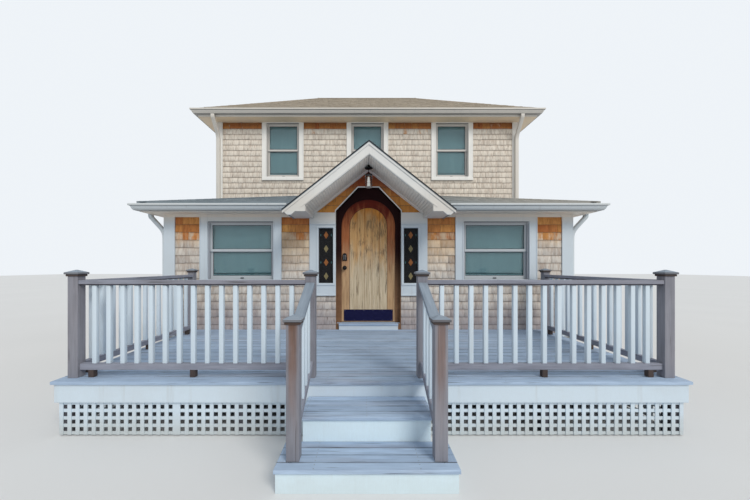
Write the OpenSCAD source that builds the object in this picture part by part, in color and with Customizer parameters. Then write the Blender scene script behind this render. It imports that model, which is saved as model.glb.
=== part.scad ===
/* [Walls] */
// Width of the house over its side walls
house_w = 6560; // [5600:20:7600]
// Thickness of an outside wall
wall_t = 160; // [140:5:180]
// Depth of the one-storey front part
front_depth = 1910; // [1700:10:2200]
// Depth of the two-storey part behind it
main_depth = 4000; // [3500:20:4600]
// Height of the deck above the ground
deck_top = 500; // [480:5:520]
// Height of the ground floor above the deck
floor_rise = 92; // [80:2:110]
// Thickness of the ground floor with its joists
floor_t = 200; // [160:10:220]
// Height of the upper floor above the deck
upper_floor_h = 2420; // [2380:10:2460]
// Thickness of the upper floor with its joists
upper_floor_t = 200; // [160:10:240]
// Depth of the beam that carries the upper front wall
beam_h = 300; // [260:10:340]
// Thickness of the foundation walls
foundation_t = 200; // [160:10:240]
// Setback of the foundation behind the shingles
foundation_inset = 20; // [10:5:40]
// Clearance between pieces that meet on a slope
seat = 0.3; // [0.2:0.1:0.5]
// Width of a corner board of the one-storey front part
corner_w = 152; // [120:1:160]
// Width of a corner board of the two-storey part
upper_corner_w = 113; // [90:1:130]
// Thickness of the white trim boards
trim_t = 25; // [18:1:32]

/* [Lower roof] */
// Height of the lower soffit above the deck
lower_soffit_h = 1865; // [1845:5:1885]
// Rise of the lower roof for each unit of run
lower_slope = 0.25; // [0.2:0.01:0.3]
// Overhang from the wall to the fascia of the lower roof
lower_overhang = 250; // [200:10:280]
// Vertical thickness of the lower roof deck
lower_roof_t = 110; // [80:5:130]

/* [Main roof] */
// Height of the upper soffit above the deck
upper_soffit_h = 4170; // [4150:5:4300]
// Rise of the main roof for each unit of run
main_slope = 0.59; // [0.45:0.01:0.75]
// Overhang from the wall to the fascia of the main roof
main_overhang = 290; // [220:10:340]
// Vertical thickness of the main roof deck
main_roof_t = 130; // [100:5:150]

/* [Eaves and gutters] */
// Height from the lower soffit to the top of the roof over the fascia
eave_h = 175; // [165:5:200]
// Height from the upper soffit to the top of the roof over the fascia
upper_eave_h = 202; // [195:1:220]
// Vertical thickness of the roof covering
cover_t = 30; // [20:1:36]
// Distance that the covering runs past the fascia
drip = 35; // [20:5:50]
// Thickness of the soffit boards
soffit_t = 15; // [10:1:20]
// Height of the frieze board under the lower soffit
frieze_h = 47; // [35:1:60]
// Depth of a gutter from front to back
gutter_d = 120; // [100:5:130]
// Height of a gutter
gutter_h = 95; // [80:5:105]
// Thickness of the gutter's sheet
gutter_t = 6; // [4:1:8]
// Distance from the lower soffit up to the bottom of the gutter
gutter_lift = 18; // [5:1:24]
// Distance from the upper soffit up to the bottom of the gutter
upper_gutter_lift = 42; // [30:1:48]
// Width of a square downspout
spout_w = 76; // [60:2:90]

/* [Porch gable] */
// Distance that the gable stands out from the front wall
porch_depth = 790; // [650:10:900]
// Half of the gable's width at its eaves
porch_half_w = 1210; // [1190:5:1230]
// Height of the gable's ridge above the deck
porch_ridge_h = 2775; // [2750:5:2800]
// Rise of the gable roof for each unit of run
porch_slope = 0.79; // [0.77:0.01:0.81]
// Distance that the covering runs past the rake boards
cover_drip = 15; // [5:1:20]
// Vertical thickness of the gable roof with its soffit
porch_t = 200; // [190:5:210]
// Thickness of the covering on the gable
porch_cover_t = 22; // [14:1:26]
// Height of the underside of the gable's feet above the deck
porch_foot_h = 1800; // [1790:5:1810]
// Distance from the middle to the inner face of a gable foot
porch_foot_x = 885; // [875:5:895]
// Least distance of the feet's underside below the tips of the gable's roof
foot_drop = 10; // [5:1:18]
// Thickness of the rake boards
rake_t = 32; // [22:1:40]
// Distance that a rake board's tail hangs below the feet
rake_tail = 62; // [40:2:80]

/* [Windows] */
// Distance of the lower front windows from the middle
lower_win_x = 2065; // [2040:5:2100]
// Width of a lower window opening
lower_win_w = 1060; // [1000:10:1080]
// Height of a lower window opening
lower_win_h = 955; // [900:5:960]
// Height of a lower window opening above the deck
lower_win_sill = 792; // [780:2:812]
// Width of the casing beside a lower window
lower_casing = 130; // [110:5:135]
// Distance of the outer upper windows from the middle
upper_win_x = 1850; // [1800:10:1950]
// Width of an upper window opening
upper_win_w = 710; // [660:10:740]
// Height of an upper window opening
upper_win_h = 1190; // [1130:5:1195]
// Height of an upper window opening above the deck
upper_win_sill = 2965; // [2955:5:2975]
// Width of the casing beside an upper window
upper_casing = 100; // [80:5:110]
// Width of a sash's stiles and rails
sash_w = 38; // [30:1:45]
// Height of the bottom rail of a lower sash
foot_rail = 62; // [40:2:76]
// Thickness of a sash
sash_t = 26; // [20:1:30]
// Thickness of a window frame's jambs
jamb_t = 12; // [10:1:16]
// Thickness of the window glass
glass_t = 5; // [3:1:6]
// Least distance from a window opening up to the soffit or frieze over it
head_gap = 15; // [10:1:60]
// Distance that a sill stands out from the wall
sill_out = 42; // [34:1:60]
// Height of a sill
sill_h = 62; // [50:1:70]

/* [Entry] */
// Width of the front door
door_w = 914; // [880:2:930]
// Height of the front door to the top of its arch
door_h = 2030; // [2010:2:2040]
// Thickness of the front door
door_t = 45; // [40:1:48]
// Gap between the door and its frame
door_gap = 8; // [7:0.5:10]
// Width of the door's arched rim
door_rim = 146; // [130:2:160]
// Depth of the planked field behind the rim's face
door_sink = 10; // [6:1:14]
// Number of planks in the door
plank_count = 5; // [4:1:7]
// Half of the width of the entry recess
recess_half_w = 527; // [520:1:540]
// Half of the width of the recess's flat top
recess_top_x = 166; // [150:2:180]
// Height of the recess's flat top above the deck
recess_h = 2300; // [2290:2:2310]
// Height above the deck at which the recess's corners start
recess_corner_h = 1925; // [1915:5:1935]
// Width of the white surround beside the recess
surround_w = 426; // [400:2:440]
// Height of the surround's top above the deck
surround_top = 1893; // [1870:1:1895]
// Height of the surround's bottom above the deck
surround_bottom = 551; // [530:5:580]
// Width of a sidelight
sidelight_w = 238; // [200:2:250]
// Height of a sidelight
sidelight_h = 896; // [820:2:910]
// Height of a sidelight above the deck
sidelight_sill = 749; // [740:1:770]
// Height of the threshold above the deck
threshold_h = 100; // [94:1:112]
// Distance that the threshold stands out from the wall
threshold_out = 60; // [30:5:90]

/* [Door hardware] */
// Radius of a hinge pin
pin_r = 6; // [5:0.5:7]
// Running clearance between a hinge pin and its knuckle
pin_play = 0.3; // [0.2:0.1:0.5]
// Outer radius of a hinge knuckle
knuckle_r = 11; // [10:0.5:12]
// Height of one hinge
hinge_h = 105; // [90:5:120]
// Radius of the door knob
knob_r = 30; // [24:1:34]
// Height of the door knob above the bottom of the door
knob_h = 890; // [850:10:950]
// Height of the kick plate
kick_h = 190; // [150:10:220]

/* [Lantern] */
// Distance of the lantern in front of the wall
lantern_out = 330; // [280:10:380]
// Radius of the lantern's glass
lantern_r = 46; // [38:1:50]
// Height of the lantern's body
lantern_h = 225; // [200:5:240]
// Radius of the lantern's canopy
canopy_r = 60; // [50:1:66]

/* [Deck] */
// Width of the deck
deck_w = 5690; // [5400:10:5900]
// Depth of the deck from the wall to its front edge
deck_depth = 2470; // [2300:10:2600]
// Width of a deck board
board_w = 140; // [135:1:142]
// Thickness of a deck board
board_t = 28; // [25:1:38]
// Height of the white fascia under the deck boards
fascia_h = 165; // [150:5:180]
// Distance that the boards run past the fascia
deck_nosing = 20; // [15:5:30]
// Spacing of the deck joists
joist_pitch = 400; // [350:10:450]
// Thickness of a joist
joist_t = 38; // [35:1:45]
// Pitch of the lattice's bars
lattice_pitch = 72; // [66:1:80]
// Width of an upright lattice bar
lattice_bar = 34; // [28:1:40]
// Width of a level lattice bar
lattice_rail = 29; // [24:1:36]
// Thickness of a lattice bar
lattice_t = 8; // [6:1:10]
// Gap between the lattice and the ground
lattice_gap = 10; // [8:1:25]
// Distance from the deck's left corner to the joint between the two left lattices
lattice_joint = 1050; // [900:10:1200]

/* [Railings] */
// Width of a railing post
post_w = 92; // [88:1:96]
// Distance from the side of the deck's frame to the middle of a post
post_edge = 96; // [80:2:110]
// Distance from the front edge of the deck to the middle of a front post
post_back = 145; // [120:5:170]
// Distance of the rear posts from the wall
rear_post_gap = 250; // [200:10:300]
// Height of a railing's top above the deck
rail_h = 895; // [850:1:920]
// Thickness of the top rail
rail_t = 42; // [36:1:48]
// Width of the top rail
rail_w = 80; // [70:1:88]
// Height of the bottom rail's underside above the deck
low_rail_h = 68; // [60:2:100]
// Height of the bottom rail
low_rail_t = 58; // [40:2:64]
// Width of the bottom rail
low_rail_w = 50; // [45:1:60]
// Distance that a stair's bottom rail lies higher than a level one
stair_rail_lift = 50; // [40:2:70]
// Width of a square baluster
baluster_w = 35; // [30:1:40]
// Pitch of the balusters
baluster_pitch = 134; // [120:1:150]
// Height of a post's top above the railing
post_above = 55; // [30:5:70]
// Height of a post's cap
cap_h = 40; // [30:2:50]
// Distance that a cap stands out round its post
cap_out = 20; // [10:1:28]

/* [Steps] */
// Place of the middle of the steps, to the right of the middle of the house
steps_x = -44; // [-60:2:60]
// Width of the flight of steps
flight_w = 1030; // [980:10:1100]
// Rise from the upper step to the deck
deck_rise = 135; // [125:5:180]
// Rise from the lowest step to the upper one
step_rise = 197; // [160:1:205]
// Width of the lowest step
landing_w = 1250; // [1200:10:1300]
// Depth of the upper step
tread_d = 390; // [350:5:420]
// Depth of the lowest step
landing_d = 350; // [320:5:400]
// Distance of a lower post from the front of the lowest step
lower_post_back = 140; // [110:5:180]
// Number of boards from front to back on the upper step
tread_boards_n = 4; // [3:1:5]
// Number of boards from front to back on the lowest step
landing_boards_n = 4; // [3:1:6]
// Distance that a step's boards run past the white board under them
step_nose = 20; // [10:1:30]
// Thickness of the riser boards and stringers
riser_t = 30; // [22:1:38]

/* [Hidden] */
$fn = 48;
far = 20000;

half_w = house_w / 2;
front_y = -wall_t / 2;
main_y = front_y + front_depth;
rear_y = main_y + main_depth;
floor_top = deck_top + floor_rise;
floor_bottom = floor_top - floor_t;
upper_floor_top = deck_top + upper_floor_h;
beam_bottom = upper_floor_top - beam_h;

// A soffit stands at its own height, or just over the windows where these reach higher
lower_soffit_z = deck_top
    + max(lower_soffit_h, lower_win_sill + lower_win_h + head_gap + frieze_h);
upper_soffit_z = deck_top + max(upper_soffit_h, upper_win_sill + upper_win_h + head_gap);
lower_eave_z = lower_soffit_z + eave_h;
upper_eave_z = upper_soffit_z + upper_eave_h;

porch_y = front_y - porch_depth;
porch_ridge_z = deck_top + porch_ridge_h;
// A foot's underside stays below the tips of the gable's roof
porch_foot_z = deck_top
    + min(porch_foot_h, porch_ridge_h - porch_half_w * porch_slope - foot_drop);

deck_front = front_y - deck_depth;
post_line = deck_front + post_back;
post_x = deck_w / 2 - post_edge - deck_nosing;
stair_post_x = flight_w / 2;
tread_top = deck_top - deck_rise;
landing_top = tread_top - step_rise;
landing_front = deck_front - tread_d - landing_d;
lower_post_y = landing_front + lower_post_back;
frame_top = deck_top - board_t;
frame_bottom = frame_top - fascia_h;
deck_frame_front = deck_front + deck_nosing + trim_t;
deck_frame_half_w = deck_w / 2 - deck_nosing - trim_t;

door_bottom = deck_top + threshold_h + door_gap;
door_stop_y = wall_t / 2 - door_t - 12;
door_front = door_stop_y + door_gap - 2;
door_back = door_front + door_t;
door_arch_z = door_bottom + door_h - door_w / 2;
hinge_x = door_w / 2 + door_gap / 2;
hinge_y = wall_t / 2 + knuckle_r;
hinge_heights = [200, 860, 1400];

white = [0.93, 0.94, 0.94];
shingle = [0.66, 0.58, 0.50];
grey_wood = [0.50, 0.49, 0.49];

// Mirrors its children to the left side of the house
module on_side(s) {
    mirror([s < 0 ? 1 : 0, 0, 0]) children();
}

// A hipped volume below a roof surface that passes through eave_z at the plan's edge
module hip_volume(half_x, y0, y1, eave_z, slope, bottom) {
    half_d = (y1 - y0) / 2;
    intersection() {
        translate([0, y1, 0]) rotate([90, 0, 0]) linear_extrude(y1 - y0)
            polygon([[-half_x, bottom], [half_x, bottom], [half_x, eave_z],
                [0, eave_z + half_x * slope], [-half_x, eave_z]]);
        translate([-half_x, 0, 0]) rotate([90, 0, 90]) linear_extrude(2 * half_x)
            polygon([[y0, bottom], [y1, bottom], [y1, eave_z],
                [y0 + half_d, eave_z + half_d * slope], [y0, eave_z]]);
    }
}

// The lower roof's volume slopes up to the two-storey part from three sides
module lean_volume(grow, drop, bottom) {
    half_x = half_w + lower_overhang + grow;
    y0 = front_y - lower_overhang - grow;
    z0 = lower_eave_z - grow * lower_slope - drop;
    intersection() {
        translate([0, main_y, 0]) rotate([90, 0, 0]) linear_extrude(main_y - y0)
            polygon([[-half_x, bottom], [half_x, bottom], [half_x, z0],
                [0, z0 + half_x * lower_slope], [-half_x, z0]]);
        translate([-half_x, 0, 0]) rotate([90, 0, 90]) linear_extrude(2 * half_x)
            polygon([[y0, bottom], [main_y, bottom],
                [main_y, z0 + (main_y - y0) * lower_slope], [y0, z0]]);
    }
}

// The main roof's volume, grown outwards along its own slope and dropped by a thickness
module main_volume(grow, drop, bottom) {
    hip_volume(half_w + main_overhang + grow, main_y - main_overhang - grow,
        rear_y + main_overhang + grow, upper_eave_z - grow * main_slope - drop,
        main_slope, bottom);
}

// The gable's triangle below a line that is dropped from the roof's surface
module porch_prism(y0, y1, drop, bottom) {
    z = porch_ridge_z - drop;
    half = (z - bottom) / porch_slope;
    translate([0, y1, 0]) rotate([90, 0, 0]) linear_extrude(y1 - y0)
        polygon([[-half, bottom], [half, bottom], [0, z]]);
}

// What lies above the lower roof's surface, for the valleys behind the gable
module above_lower_roof() {
    difference() {
        translate([-half_w, front_y, lower_soffit_z])
            cube([house_w, front_depth, porch_ridge_z]);
        lean_volume(0, 0, 0);
    }
}

// The windows of each wall as [place along the wall, opening's bottom, width, height, casing]
function lower_window(u) = [u, deck_top + lower_win_sill, lower_win_w, lower_win_h,
    lower_casing];
function upper_window(u) = [u, deck_top + upper_win_sill, upper_win_w, upper_win_h,
    upper_casing];
side_win_y = (main_y + rear_y) / 2;

// Places its children on a wall, with the wall's outer face at y = 0 and the room behind
module on_wall(side) {
    if (side == "front") translate([0, front_y, 0]) children();
    if (side == "upper_front") translate([0, main_y, 0]) children();
    if (side == "rear") translate([0, rear_y, 0]) rotate(180) children();
    if (side == "left") translate([-half_w, side_win_y, 0]) rotate(-90) children();
    if (side == "right") translate([half_w, side_win_y, 0]) rotate(90) children();
}

// Repeats its children for each window of the house, as [side, window]
all_windows = [
    for (s = [-1, 1]) ["front", lower_window(s * lower_win_x)],
    for (s = [-1, 1]) ["rear", lower_window(s * lower_win_x)],
    for (s = [-1, 0, 1]) ["upper_front", upper_window(s * upper_win_x)],
    for (s = [-1, 0, 1]) ["rear", upper_window(s * upper_win_x)],
    for (side = ["left", "right"]) [side, lower_window(0)],
    for (side = ["left", "right"]) [side, upper_window(0)],
];

module window_holes(side) {
    for (entry = all_windows)
        if (entry[0] == side) {
            w = entry[1];
            on_wall(side) translate([w[0] - w[2] / 2, -wall_t, w[1]])
                cube([w[2], 3 * wall_t, w[3]]);
        }
}

// A flat ring in the plane of a wall, from y0 to y0 + t, whose foot has its own height
module wall_ring(w, h, border, foot, y0, t) {
    translate([0, y0 + t, 0]) rotate([90, 0, 0]) linear_extrude(t) difference() {
        translate([-w / 2, 0]) square([w, h]);
        translate([-w / 2 + border, foot]) square([w - 2 * border, h - border - foot]);
    }
}

// Both panes of a window have one height
function pane_h(w) = (w[3] - 2 * jamb_t - foot_rail) / 2 - sash_w;
sash_y = 30;
module sash_set(w) {
    inner_w = w[2] - 2 * jamb_t;
    wall_ring(w[2], w[3], jamb_t, jamb_t, 10, sash_y + 2 * sash_t);
    translate([0, 0, jamb_t + foot_rail + pane_h(w)])
        wall_ring(inner_w, pane_h(w) + 2 * sash_w, sash_w, sash_w, sash_y, sash_t);
    translate([0, 0, jamb_t])
        wall_ring(inner_w, foot_rail + pane_h(w) + sash_w, sash_w, foot_rail,
            sash_y + sash_t, sash_t);
}

module sash_glass(w) {
    pane_w = w[2] - 2 * jamb_t - 2 * sash_w;
    pane_y = sash_y + (sash_t - glass_t) / 2;
    pane_z = jamb_t + foot_rail;
    translate([-pane_w / 2, pane_y, pane_z + pane_h(w) + sash_w])
        cube([pane_w, glass_t, pane_h(w)]);
    translate([-pane_w / 2, pane_y + sash_t, pane_z]) cube([pane_w, glass_t, pane_h(w)]);
}

shade_t = 4;
module shade(w) {
    translate([-w[2] / 2 + jamb_t, sash_y + 2 * sash_t, jamb_t])
        cube([w[2] - 2 * jamb_t, shade_t, w[3] - 2 * jamb_t]);
}

module casing(side, w) {
    top = side == "front" || (side == "rear" && w[4] == lower_casing)
        || ((side == "left" || side == "right") && w[4] == lower_casing)
        ? lower_soffit_z - frieze_h : upper_soffit_z;
    outer_w = w[2] + 2 * w[4];
    difference() {
        translate([-outer_w / 2, -trim_t, w[1]]) cube([outer_w, trim_t, top - w[1]]);
        translate([-w[2] / 2, -2 * trim_t, w[1] - 1]) cube([w[2], 3 * trim_t, w[3] + 1]);
    }
    translate([-outer_w / 2, -sill_out, w[1] - sill_h]) cube([outer_w, sill_out, sill_h]);
}

module foundation_piece(x0, y0, x1, y1) {
    color([0.55, 0.54, 0.52]) translate([x0, y0, 0]) cube([x1 - x0, y1 - y0, floor_bottom]);
}

module foundation_front() {
    foundation_piece(-half_w + foundation_inset, front_y + foundation_inset,
        half_w - foundation_inset, front_y + foundation_inset + foundation_t);
}

module foundation_rear() {
    foundation_piece(-half_w + foundation_inset, rear_y - foundation_inset - foundation_t,
        half_w - foundation_inset, rear_y - foundation_inset);
}

module foundation_sides() {
    y0 = front_y + foundation_inset + foundation_t;
    y1 = rear_y - foundation_inset - foundation_t;
    x0 = half_w - foundation_inset;
    foundation_piece(-x0, y0, -x0 + foundation_t, y1);
    foundation_piece(x0 - foundation_t, y0, x0, y1);
}

module ground_floor() {
    color([0.60, 0.45, 0.30]) translate([-half_w, front_y, floor_bottom])
        cube([house_w, rear_y - front_y, floor_t]);
}

// The front wall's whole sheet, up to the roofs' undersides
module front_sheet() {
    intersection() {
        translate([-half_w, front_y, floor_top])
            cube([house_w, wall_t, porch_ridge_z]);
        union() {
            lean_volume(0, cover_t + lower_roof_t, 0);
            porch_prism(front_y - 1, front_y + wall_t + 1, porch_t, deck_top);
        }
    }
}

module recess_outline() {
    polygon([[-recess_half_w, floor_top - 1], [recess_half_w, floor_top - 1],
        [recess_half_w, deck_top + recess_corner_h], [recess_top_x, deck_top + recess_h],
        [-recess_top_x, deck_top + recess_h], [-recess_half_w, deck_top + recess_corner_h]]);
}

sidelight_x = recess_half_w + (surround_w - sidelight_w) / 2 - 52;

module sidelight_hole(s, grow) {
    x0 = s > 0 ? sidelight_x : -sidelight_x - sidelight_w;
    translate([x0 - grow, front_y - wall_t, deck_top + sidelight_sill - grow])
        cube([sidelight_w + 2 * grow, 3 * wall_t, sidelight_h + 2 * grow]);
}

module front_wall_side(s) {
    x0 = s > 0 ? recess_half_w : -half_w;
    color(shingle) difference() {
        intersection() {
            front_sheet();
            translate([x0, front_y - 1, 0])
                cube([half_w - recess_half_w, wall_t + 2, 2 * porch_ridge_z]);
        }
        window_holes("front");
        sidelight_hole(s, 0);
    }
}

module front_wall_left() {
    front_wall_side(-1);
}

module front_wall_right() {
    front_wall_side(1);
}

module front_wall_over_door() {
    color(shingle) difference() {
        intersection() {
            front_sheet();
            translate([-recess_half_w, front_y - 1, deck_top + recess_corner_h])
                cube([2 * recess_half_w, wall_t + 2, porch_ridge_z]);
        }
        translate([0, wall_t, 0]) rotate([90, 0, 0]) linear_extrude(2 * wall_t)
            recess_outline();
    }
}

module front_side_walls() {
    color(shingle) for (s = [-1, 1]) intersection() {
        translate([s > 0 ? half_w - wall_t : -half_w, front_y + wall_t, floor_top])
            cube([wall_t, front_depth - wall_t, upper_floor_h]);
        lean_volume(0, cover_t + lower_roof_t, 0);
    }
}

module lower_side_walls() {
    color(shingle) for (s = [-1, 1]) difference() {
        translate([s > 0 ? half_w - wall_t : -half_w, main_y, floor_top])
            cube([wall_t, main_depth - wall_t, upper_floor_top - floor_top]);
        window_holes(s > 0 ? "right" : "left");
    }
}

module lower_rear_wall() {
    color(shingle) difference() {
        translate([-half_w, rear_y - wall_t, floor_top])
            cube([house_w, wall_t, upper_floor_top - floor_top]);
        window_holes("rear");
    }
}

module floor_beam() {
    color([0.72, 0.60, 0.42]) translate([-half_w + wall_t, main_y, beam_bottom])
        cube([house_w - 2 * wall_t, wall_t, beam_h]);
}

module upper_floor() {
    color([0.60, 0.45, 0.30])
        translate([-half_w + wall_t, main_y + wall_t, upper_floor_top - upper_floor_t])
        cube([house_w - 2 * wall_t, main_depth - 2 * wall_t, upper_floor_t]);
}

// A wall of the upper storey, up to the underside of the main roof
module upper_wall_box(x0, y0, x1, y1) {
    intersection() {
        translate([x0, y0, upper_floor_top])
            cube([x1 - x0, y1 - y0, upper_eave_z + main_depth - upper_floor_top]);
        main_volume(0, cover_t + main_roof_t + seat, 0);
    }
}

module upper_front_wall() {
    color(shingle) difference() {
        upper_wall_box(-half_w, main_y, half_w, main_y + wall_t);
        window_holes("upper_front");
    }
}

module upper_rear_wall() {
    color(shingle) difference() {
        upper_wall_box(-half_w, rear_y - wall_t, half_w, rear_y);
        window_holes("rear");
    }
}

module upper_side_walls() {
    color(shingle) for (s = [-1, 1]) difference() {
        upper_wall_box(s > 0 ? half_w - wall_t : -half_w, main_y + wall_t,
            s > 0 ? half_w : -half_w + wall_t, rear_y - wall_t);
        window_holes(s > 0 ? "right" : "left");
    }
}

// The lower roof is open under the gable, so that the entry stands in full height
module lower_roof_layer(grow, top_drop, bottom_drop) {
    difference() {
        lean_volume(grow, top_drop, 0);
        lean_volume(grow + 100, bottom_drop, -100);
        porch_prism(front_y, main_y + 1, porch_t, 0);
        porch_prism(porch_y, front_y, 0, 0);
    }
}

module lower_roof_deck() {
    color([0.62, 0.55, 0.45]) lower_roof_layer(-trim_t, cover_t, cover_t + lower_roof_t);
}

module lower_roof_covering() {
    color([0.42, 0.47, 0.50]) lower_roof_layer(drip, 0, cover_t);
}

// The corners and ridge ends of the main roof's surface, grown and then dropped
function main_roof_points(grow, drop) =
    let (x = half_w + main_overhang + grow,
        y0 = main_y - main_overhang - grow,
        y1 = rear_y + main_overhang + grow,
        half_d = (y1 - y0) / 2,
        edge = upper_eave_z - grow * main_slope - drop,
        ridge = edge + half_d * main_slope)
    [[-x, y0, edge], [x, y0, edge], [x, y1, edge], [-x, y1, edge],
        [half_d - x, y0 + half_d, ridge], [x - half_d, y0 + half_d, ridge]];

module main_roof_layer(grow, top_drop, bottom_drop) {
    polyhedron(
        concat(main_roof_points(grow, top_drop), main_roof_points(grow, bottom_drop)),
        [[0, 4, 5, 1], [1, 5, 2], [2, 5, 4, 3], [3, 4, 0],
            [6, 7, 11, 10], [7, 8, 11], [8, 9, 10, 11], [9, 6, 10],
            [0, 1, 7, 6], [1, 2, 8, 7], [2, 3, 9, 8], [3, 0, 6, 9]]);
}

module main_roof_deck() {
    color([0.62, 0.55, 0.45]) main_roof_layer(-trim_t, cover_t, cover_t + main_roof_t);
}

module main_roof_covering() {
    color([0.50, 0.50, 0.48]) main_roof_layer(drip, 0, cover_t);
}

// One layer of the gable roof in section, between two drops from its surface
module porch_section(top_drop, bottom_drop, half) {
    z0 = porch_ridge_z - top_drop;
    z1 = porch_ridge_z - bottom_drop;
    polygon([[-half, z0 - half * porch_slope], [0, z0], [half, z0 - half * porch_slope],
        [half, z1 - half * porch_slope], [0, z1], [-half, z1 - half * porch_slope]]);
}

// The boxed foot under each side of the gable
module porch_feet_section() {
    for (s = [-1, 1]) on_side(s) intersection() {
        polygon([[porch_foot_x, porch_foot_z], [porch_half_w - 10, porch_foot_z],
            [porch_half_w - 10, porch_ridge_z], [porch_foot_x, porch_ridge_z]]);
        polygon([[0, 0], [0, porch_ridge_z - porch_cover_t - 50 * porch_slope],
            [porch_half_w + 100,
                porch_ridge_z - porch_cover_t - (porch_half_w + 100) * porch_slope],
            [porch_half_w + 100, 0]]);
    }
}

// Runs its children's outline from the gable's face back to the two-storey part, and cuts
// off what lies below the lower roof
module over_lower_roof(out) {
    difference() {
        translate([0, main_y, 0]) rotate([90, 0, 0]) linear_extrude(front_depth + out)
            children();
        intersection() {
            lean_volume(drip, 0, 0);
            translate([-half_w, front_y, 0]) cube([house_w, front_depth + 1, far]);
        }
    }
}

module porch_gable() {
    color(white) {
        over_lower_roof(porch_depth - rake_t) intersection() {
            porch_section(porch_cover_t, porch_t, porch_half_w - 10);
            translate([-far / 2, porch_foot_z]) square([far, far]);
        }
        translate([0, front_y, 0]) rotate([90, 0, 0])
            linear_extrude(porch_depth - rake_t) porch_feet_section();
    }
}

module porch_covering() {
    color([0.30, 0.33, 0.35]) over_lower_roof(porch_depth + cover_drip)
        porch_section(0, porch_cover_t, porch_half_w);
}

// The face of a rake board, with its tail cut level below the gable's foot
module rake_outline() {
    inner_z = porch_ridge_z - porch_t;
    foot_in = porch_foot_x + 5;
    tail_z = porch_foot_z - rake_tail;
    tip = porch_half_w - 2;
    polygon([[0, porch_ridge_z - porch_cover_t], [tip, porch_ridge_z - porch_cover_t
        - tip * porch_slope], [tip - 70, tail_z], [tip - 125, tail_z],
        [tip - 180, porch_foot_z - 14], [foot_in, porch_foot_z - 14],
        [foot_in, inner_z - foot_in * porch_slope], [0, inner_z]]);
}

module rake_boards() {
    color(white) translate([0, porch_y + rake_t, 0]) rotate([90, 0, 0])
        linear_extrude(rake_t) {
            rake_outline();
            mirror([1, 0]) rake_outline();
        }
}

// A ring of boards round a roof's edge: a level soffit and an upright fascia
module lower_eaves() {
    x1 = half_w + lower_overhang;
    y0 = front_y - lower_overhang;
    top = lower_eave_z - cover_t;
    color(white) difference() {
        union() {
            difference() {
                translate([-x1, y0, lower_soffit_z]) cube([2 * x1, main_y - y0, soffit_t]);
                translate([-half_w, front_y, 0]) cube([house_w, far, far]);
            }
            difference() {
                translate([-x1, y0, lower_soffit_z])
                    cube([2 * x1, main_y - y0, top - lower_soffit_z]);
                translate([-x1 + trim_t, y0 + trim_t, 0])
                    cube([2 * x1 - 2 * trim_t, far, far]);
            }
            translate([-half_w, front_y - trim_t, lower_soffit_z - frieze_h])
                cube([house_w, trim_t, frieze_h]);
            for (s = [-1, 1])
                translate([s > 0 ? half_w : -half_w - trim_t, front_y - trim_t,
                    lower_soffit_z - frieze_h])
                    cube([trim_t, front_depth + trim_t, frieze_h]);
            for (s = [-1, 1])
                on_side(s) translate([0, main_y + trim_t, 0]) rotate([90, 0, 0])
                    linear_extrude(trim_t)
                    polygon([[half_w, lower_soffit_z], [x1, lower_soffit_z], [x1, top],
                        [half_w, top + lower_overhang * lower_slope]]);
        }
        porch_prism(porch_y, front_y, 0, 0);
    }
}

module upper_eaves() {
    x1 = half_w + main_overhang;
    y0 = main_y - main_overhang;
    y1 = rear_y + main_overhang;
    top = upper_eave_z - cover_t;
    color(white) {
        difference() {
            translate([-x1, y0, upper_soffit_z]) cube([2 * x1, y1 - y0, soffit_t]);
            translate([-half_w, main_y, 0]) cube([house_w, main_depth, far]);
        }
        difference() {
            translate([-x1, y0, upper_soffit_z])
                cube([2 * x1, y1 - y0, top - upper_soffit_z]);
            translate([-x1 + trim_t, y0 + trim_t, 0])
                cube([2 * x1 - 2 * trim_t, y1 - y0 - 2 * trim_t, far]);
        }
    }
}

// A gutter's section, with its back at x = 0 and its moulded front at x = gutter_d
module gutter_section() {
    difference() {
        gutter_outline(0);
        gutter_outline(gutter_t);
        translate([gutter_t, gutter_h - 2]) square([gutter_d - 4 * gutter_t, 10]);
    }
}

module gutter_outline(t) {
    polygon([[t, t], [gutter_d * 0.55 - t / 2, t], [gutter_d * 0.72 - t, gutter_h * 0.3],
        [gutter_d * 0.8 - t, gutter_h * 0.62], [gutter_d - t, gutter_h * 0.72],
        [gutter_d - t, gutter_h - t], [t, gutter_h - (t > 0 ? -1 : 0)]]);
}

// One straight gutter along X, mitred at an end where it turns a corner
module gutter_run(length, mitre_left, mitre_right) {
    intersection() {
        translate([-length / 2 - gutter_d, 0, 0]) rotate([90, 0, 90]) mirror([1, 0])
            linear_extrude(length + 2 * gutter_d) gutter_section();
        linear_extrude(gutter_h)
            polygon([[-length / 2, 0], [length / 2, 0],
                [length / 2 + mitre_right * gutter_d, -gutter_d],
                [-length / 2 - mitre_left * gutter_d, -gutter_d]]);
    }
}

module gutters() {
    x0 = half_w + lower_overhang;
    y0 = front_y - lower_overhang;
    lower_z = lower_soffit_z + gutter_lift;
    front_run = x0 - porch_half_w - drip;
    side_run = main_y - y0;
    color(white) {
        for (s = [-1, 1])
            translate([s * (x0 - front_run / 2), y0, lower_z])
                gutter_run(front_run, s < 0 ? 1 : 0, s > 0 ? 1 : 0);
        translate([-x0, y0 + side_run / 2, lower_z]) rotate(-90)
            gutter_run(side_run, 0, 1);
        translate([x0, y0 + side_run / 2, lower_z]) rotate(90)
            gutter_run(side_run, 1, 0);
        upper_gutter();
    }
}

module upper_gutter() {
    x0 = half_w + main_overhang;
    y0 = main_y - main_overhang;
    y1 = rear_y + main_overhang;
    z = upper_soffit_z + upper_gutter_lift;
    translate([0, y0, z]) gutter_run(2 * x0, 1, 1);
    translate([0, y1, z]) rotate(180) gutter_run(2 * x0, 1, 1);
    translate([-x0, (y0 + y1) / 2, z]) rotate(-90) gutter_run(y1 - y0, 1, 1);
    translate([x0, (y0 + y1) / 2, z]) rotate(90) gutter_run(y1 - y0, 1, 1);
}

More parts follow.
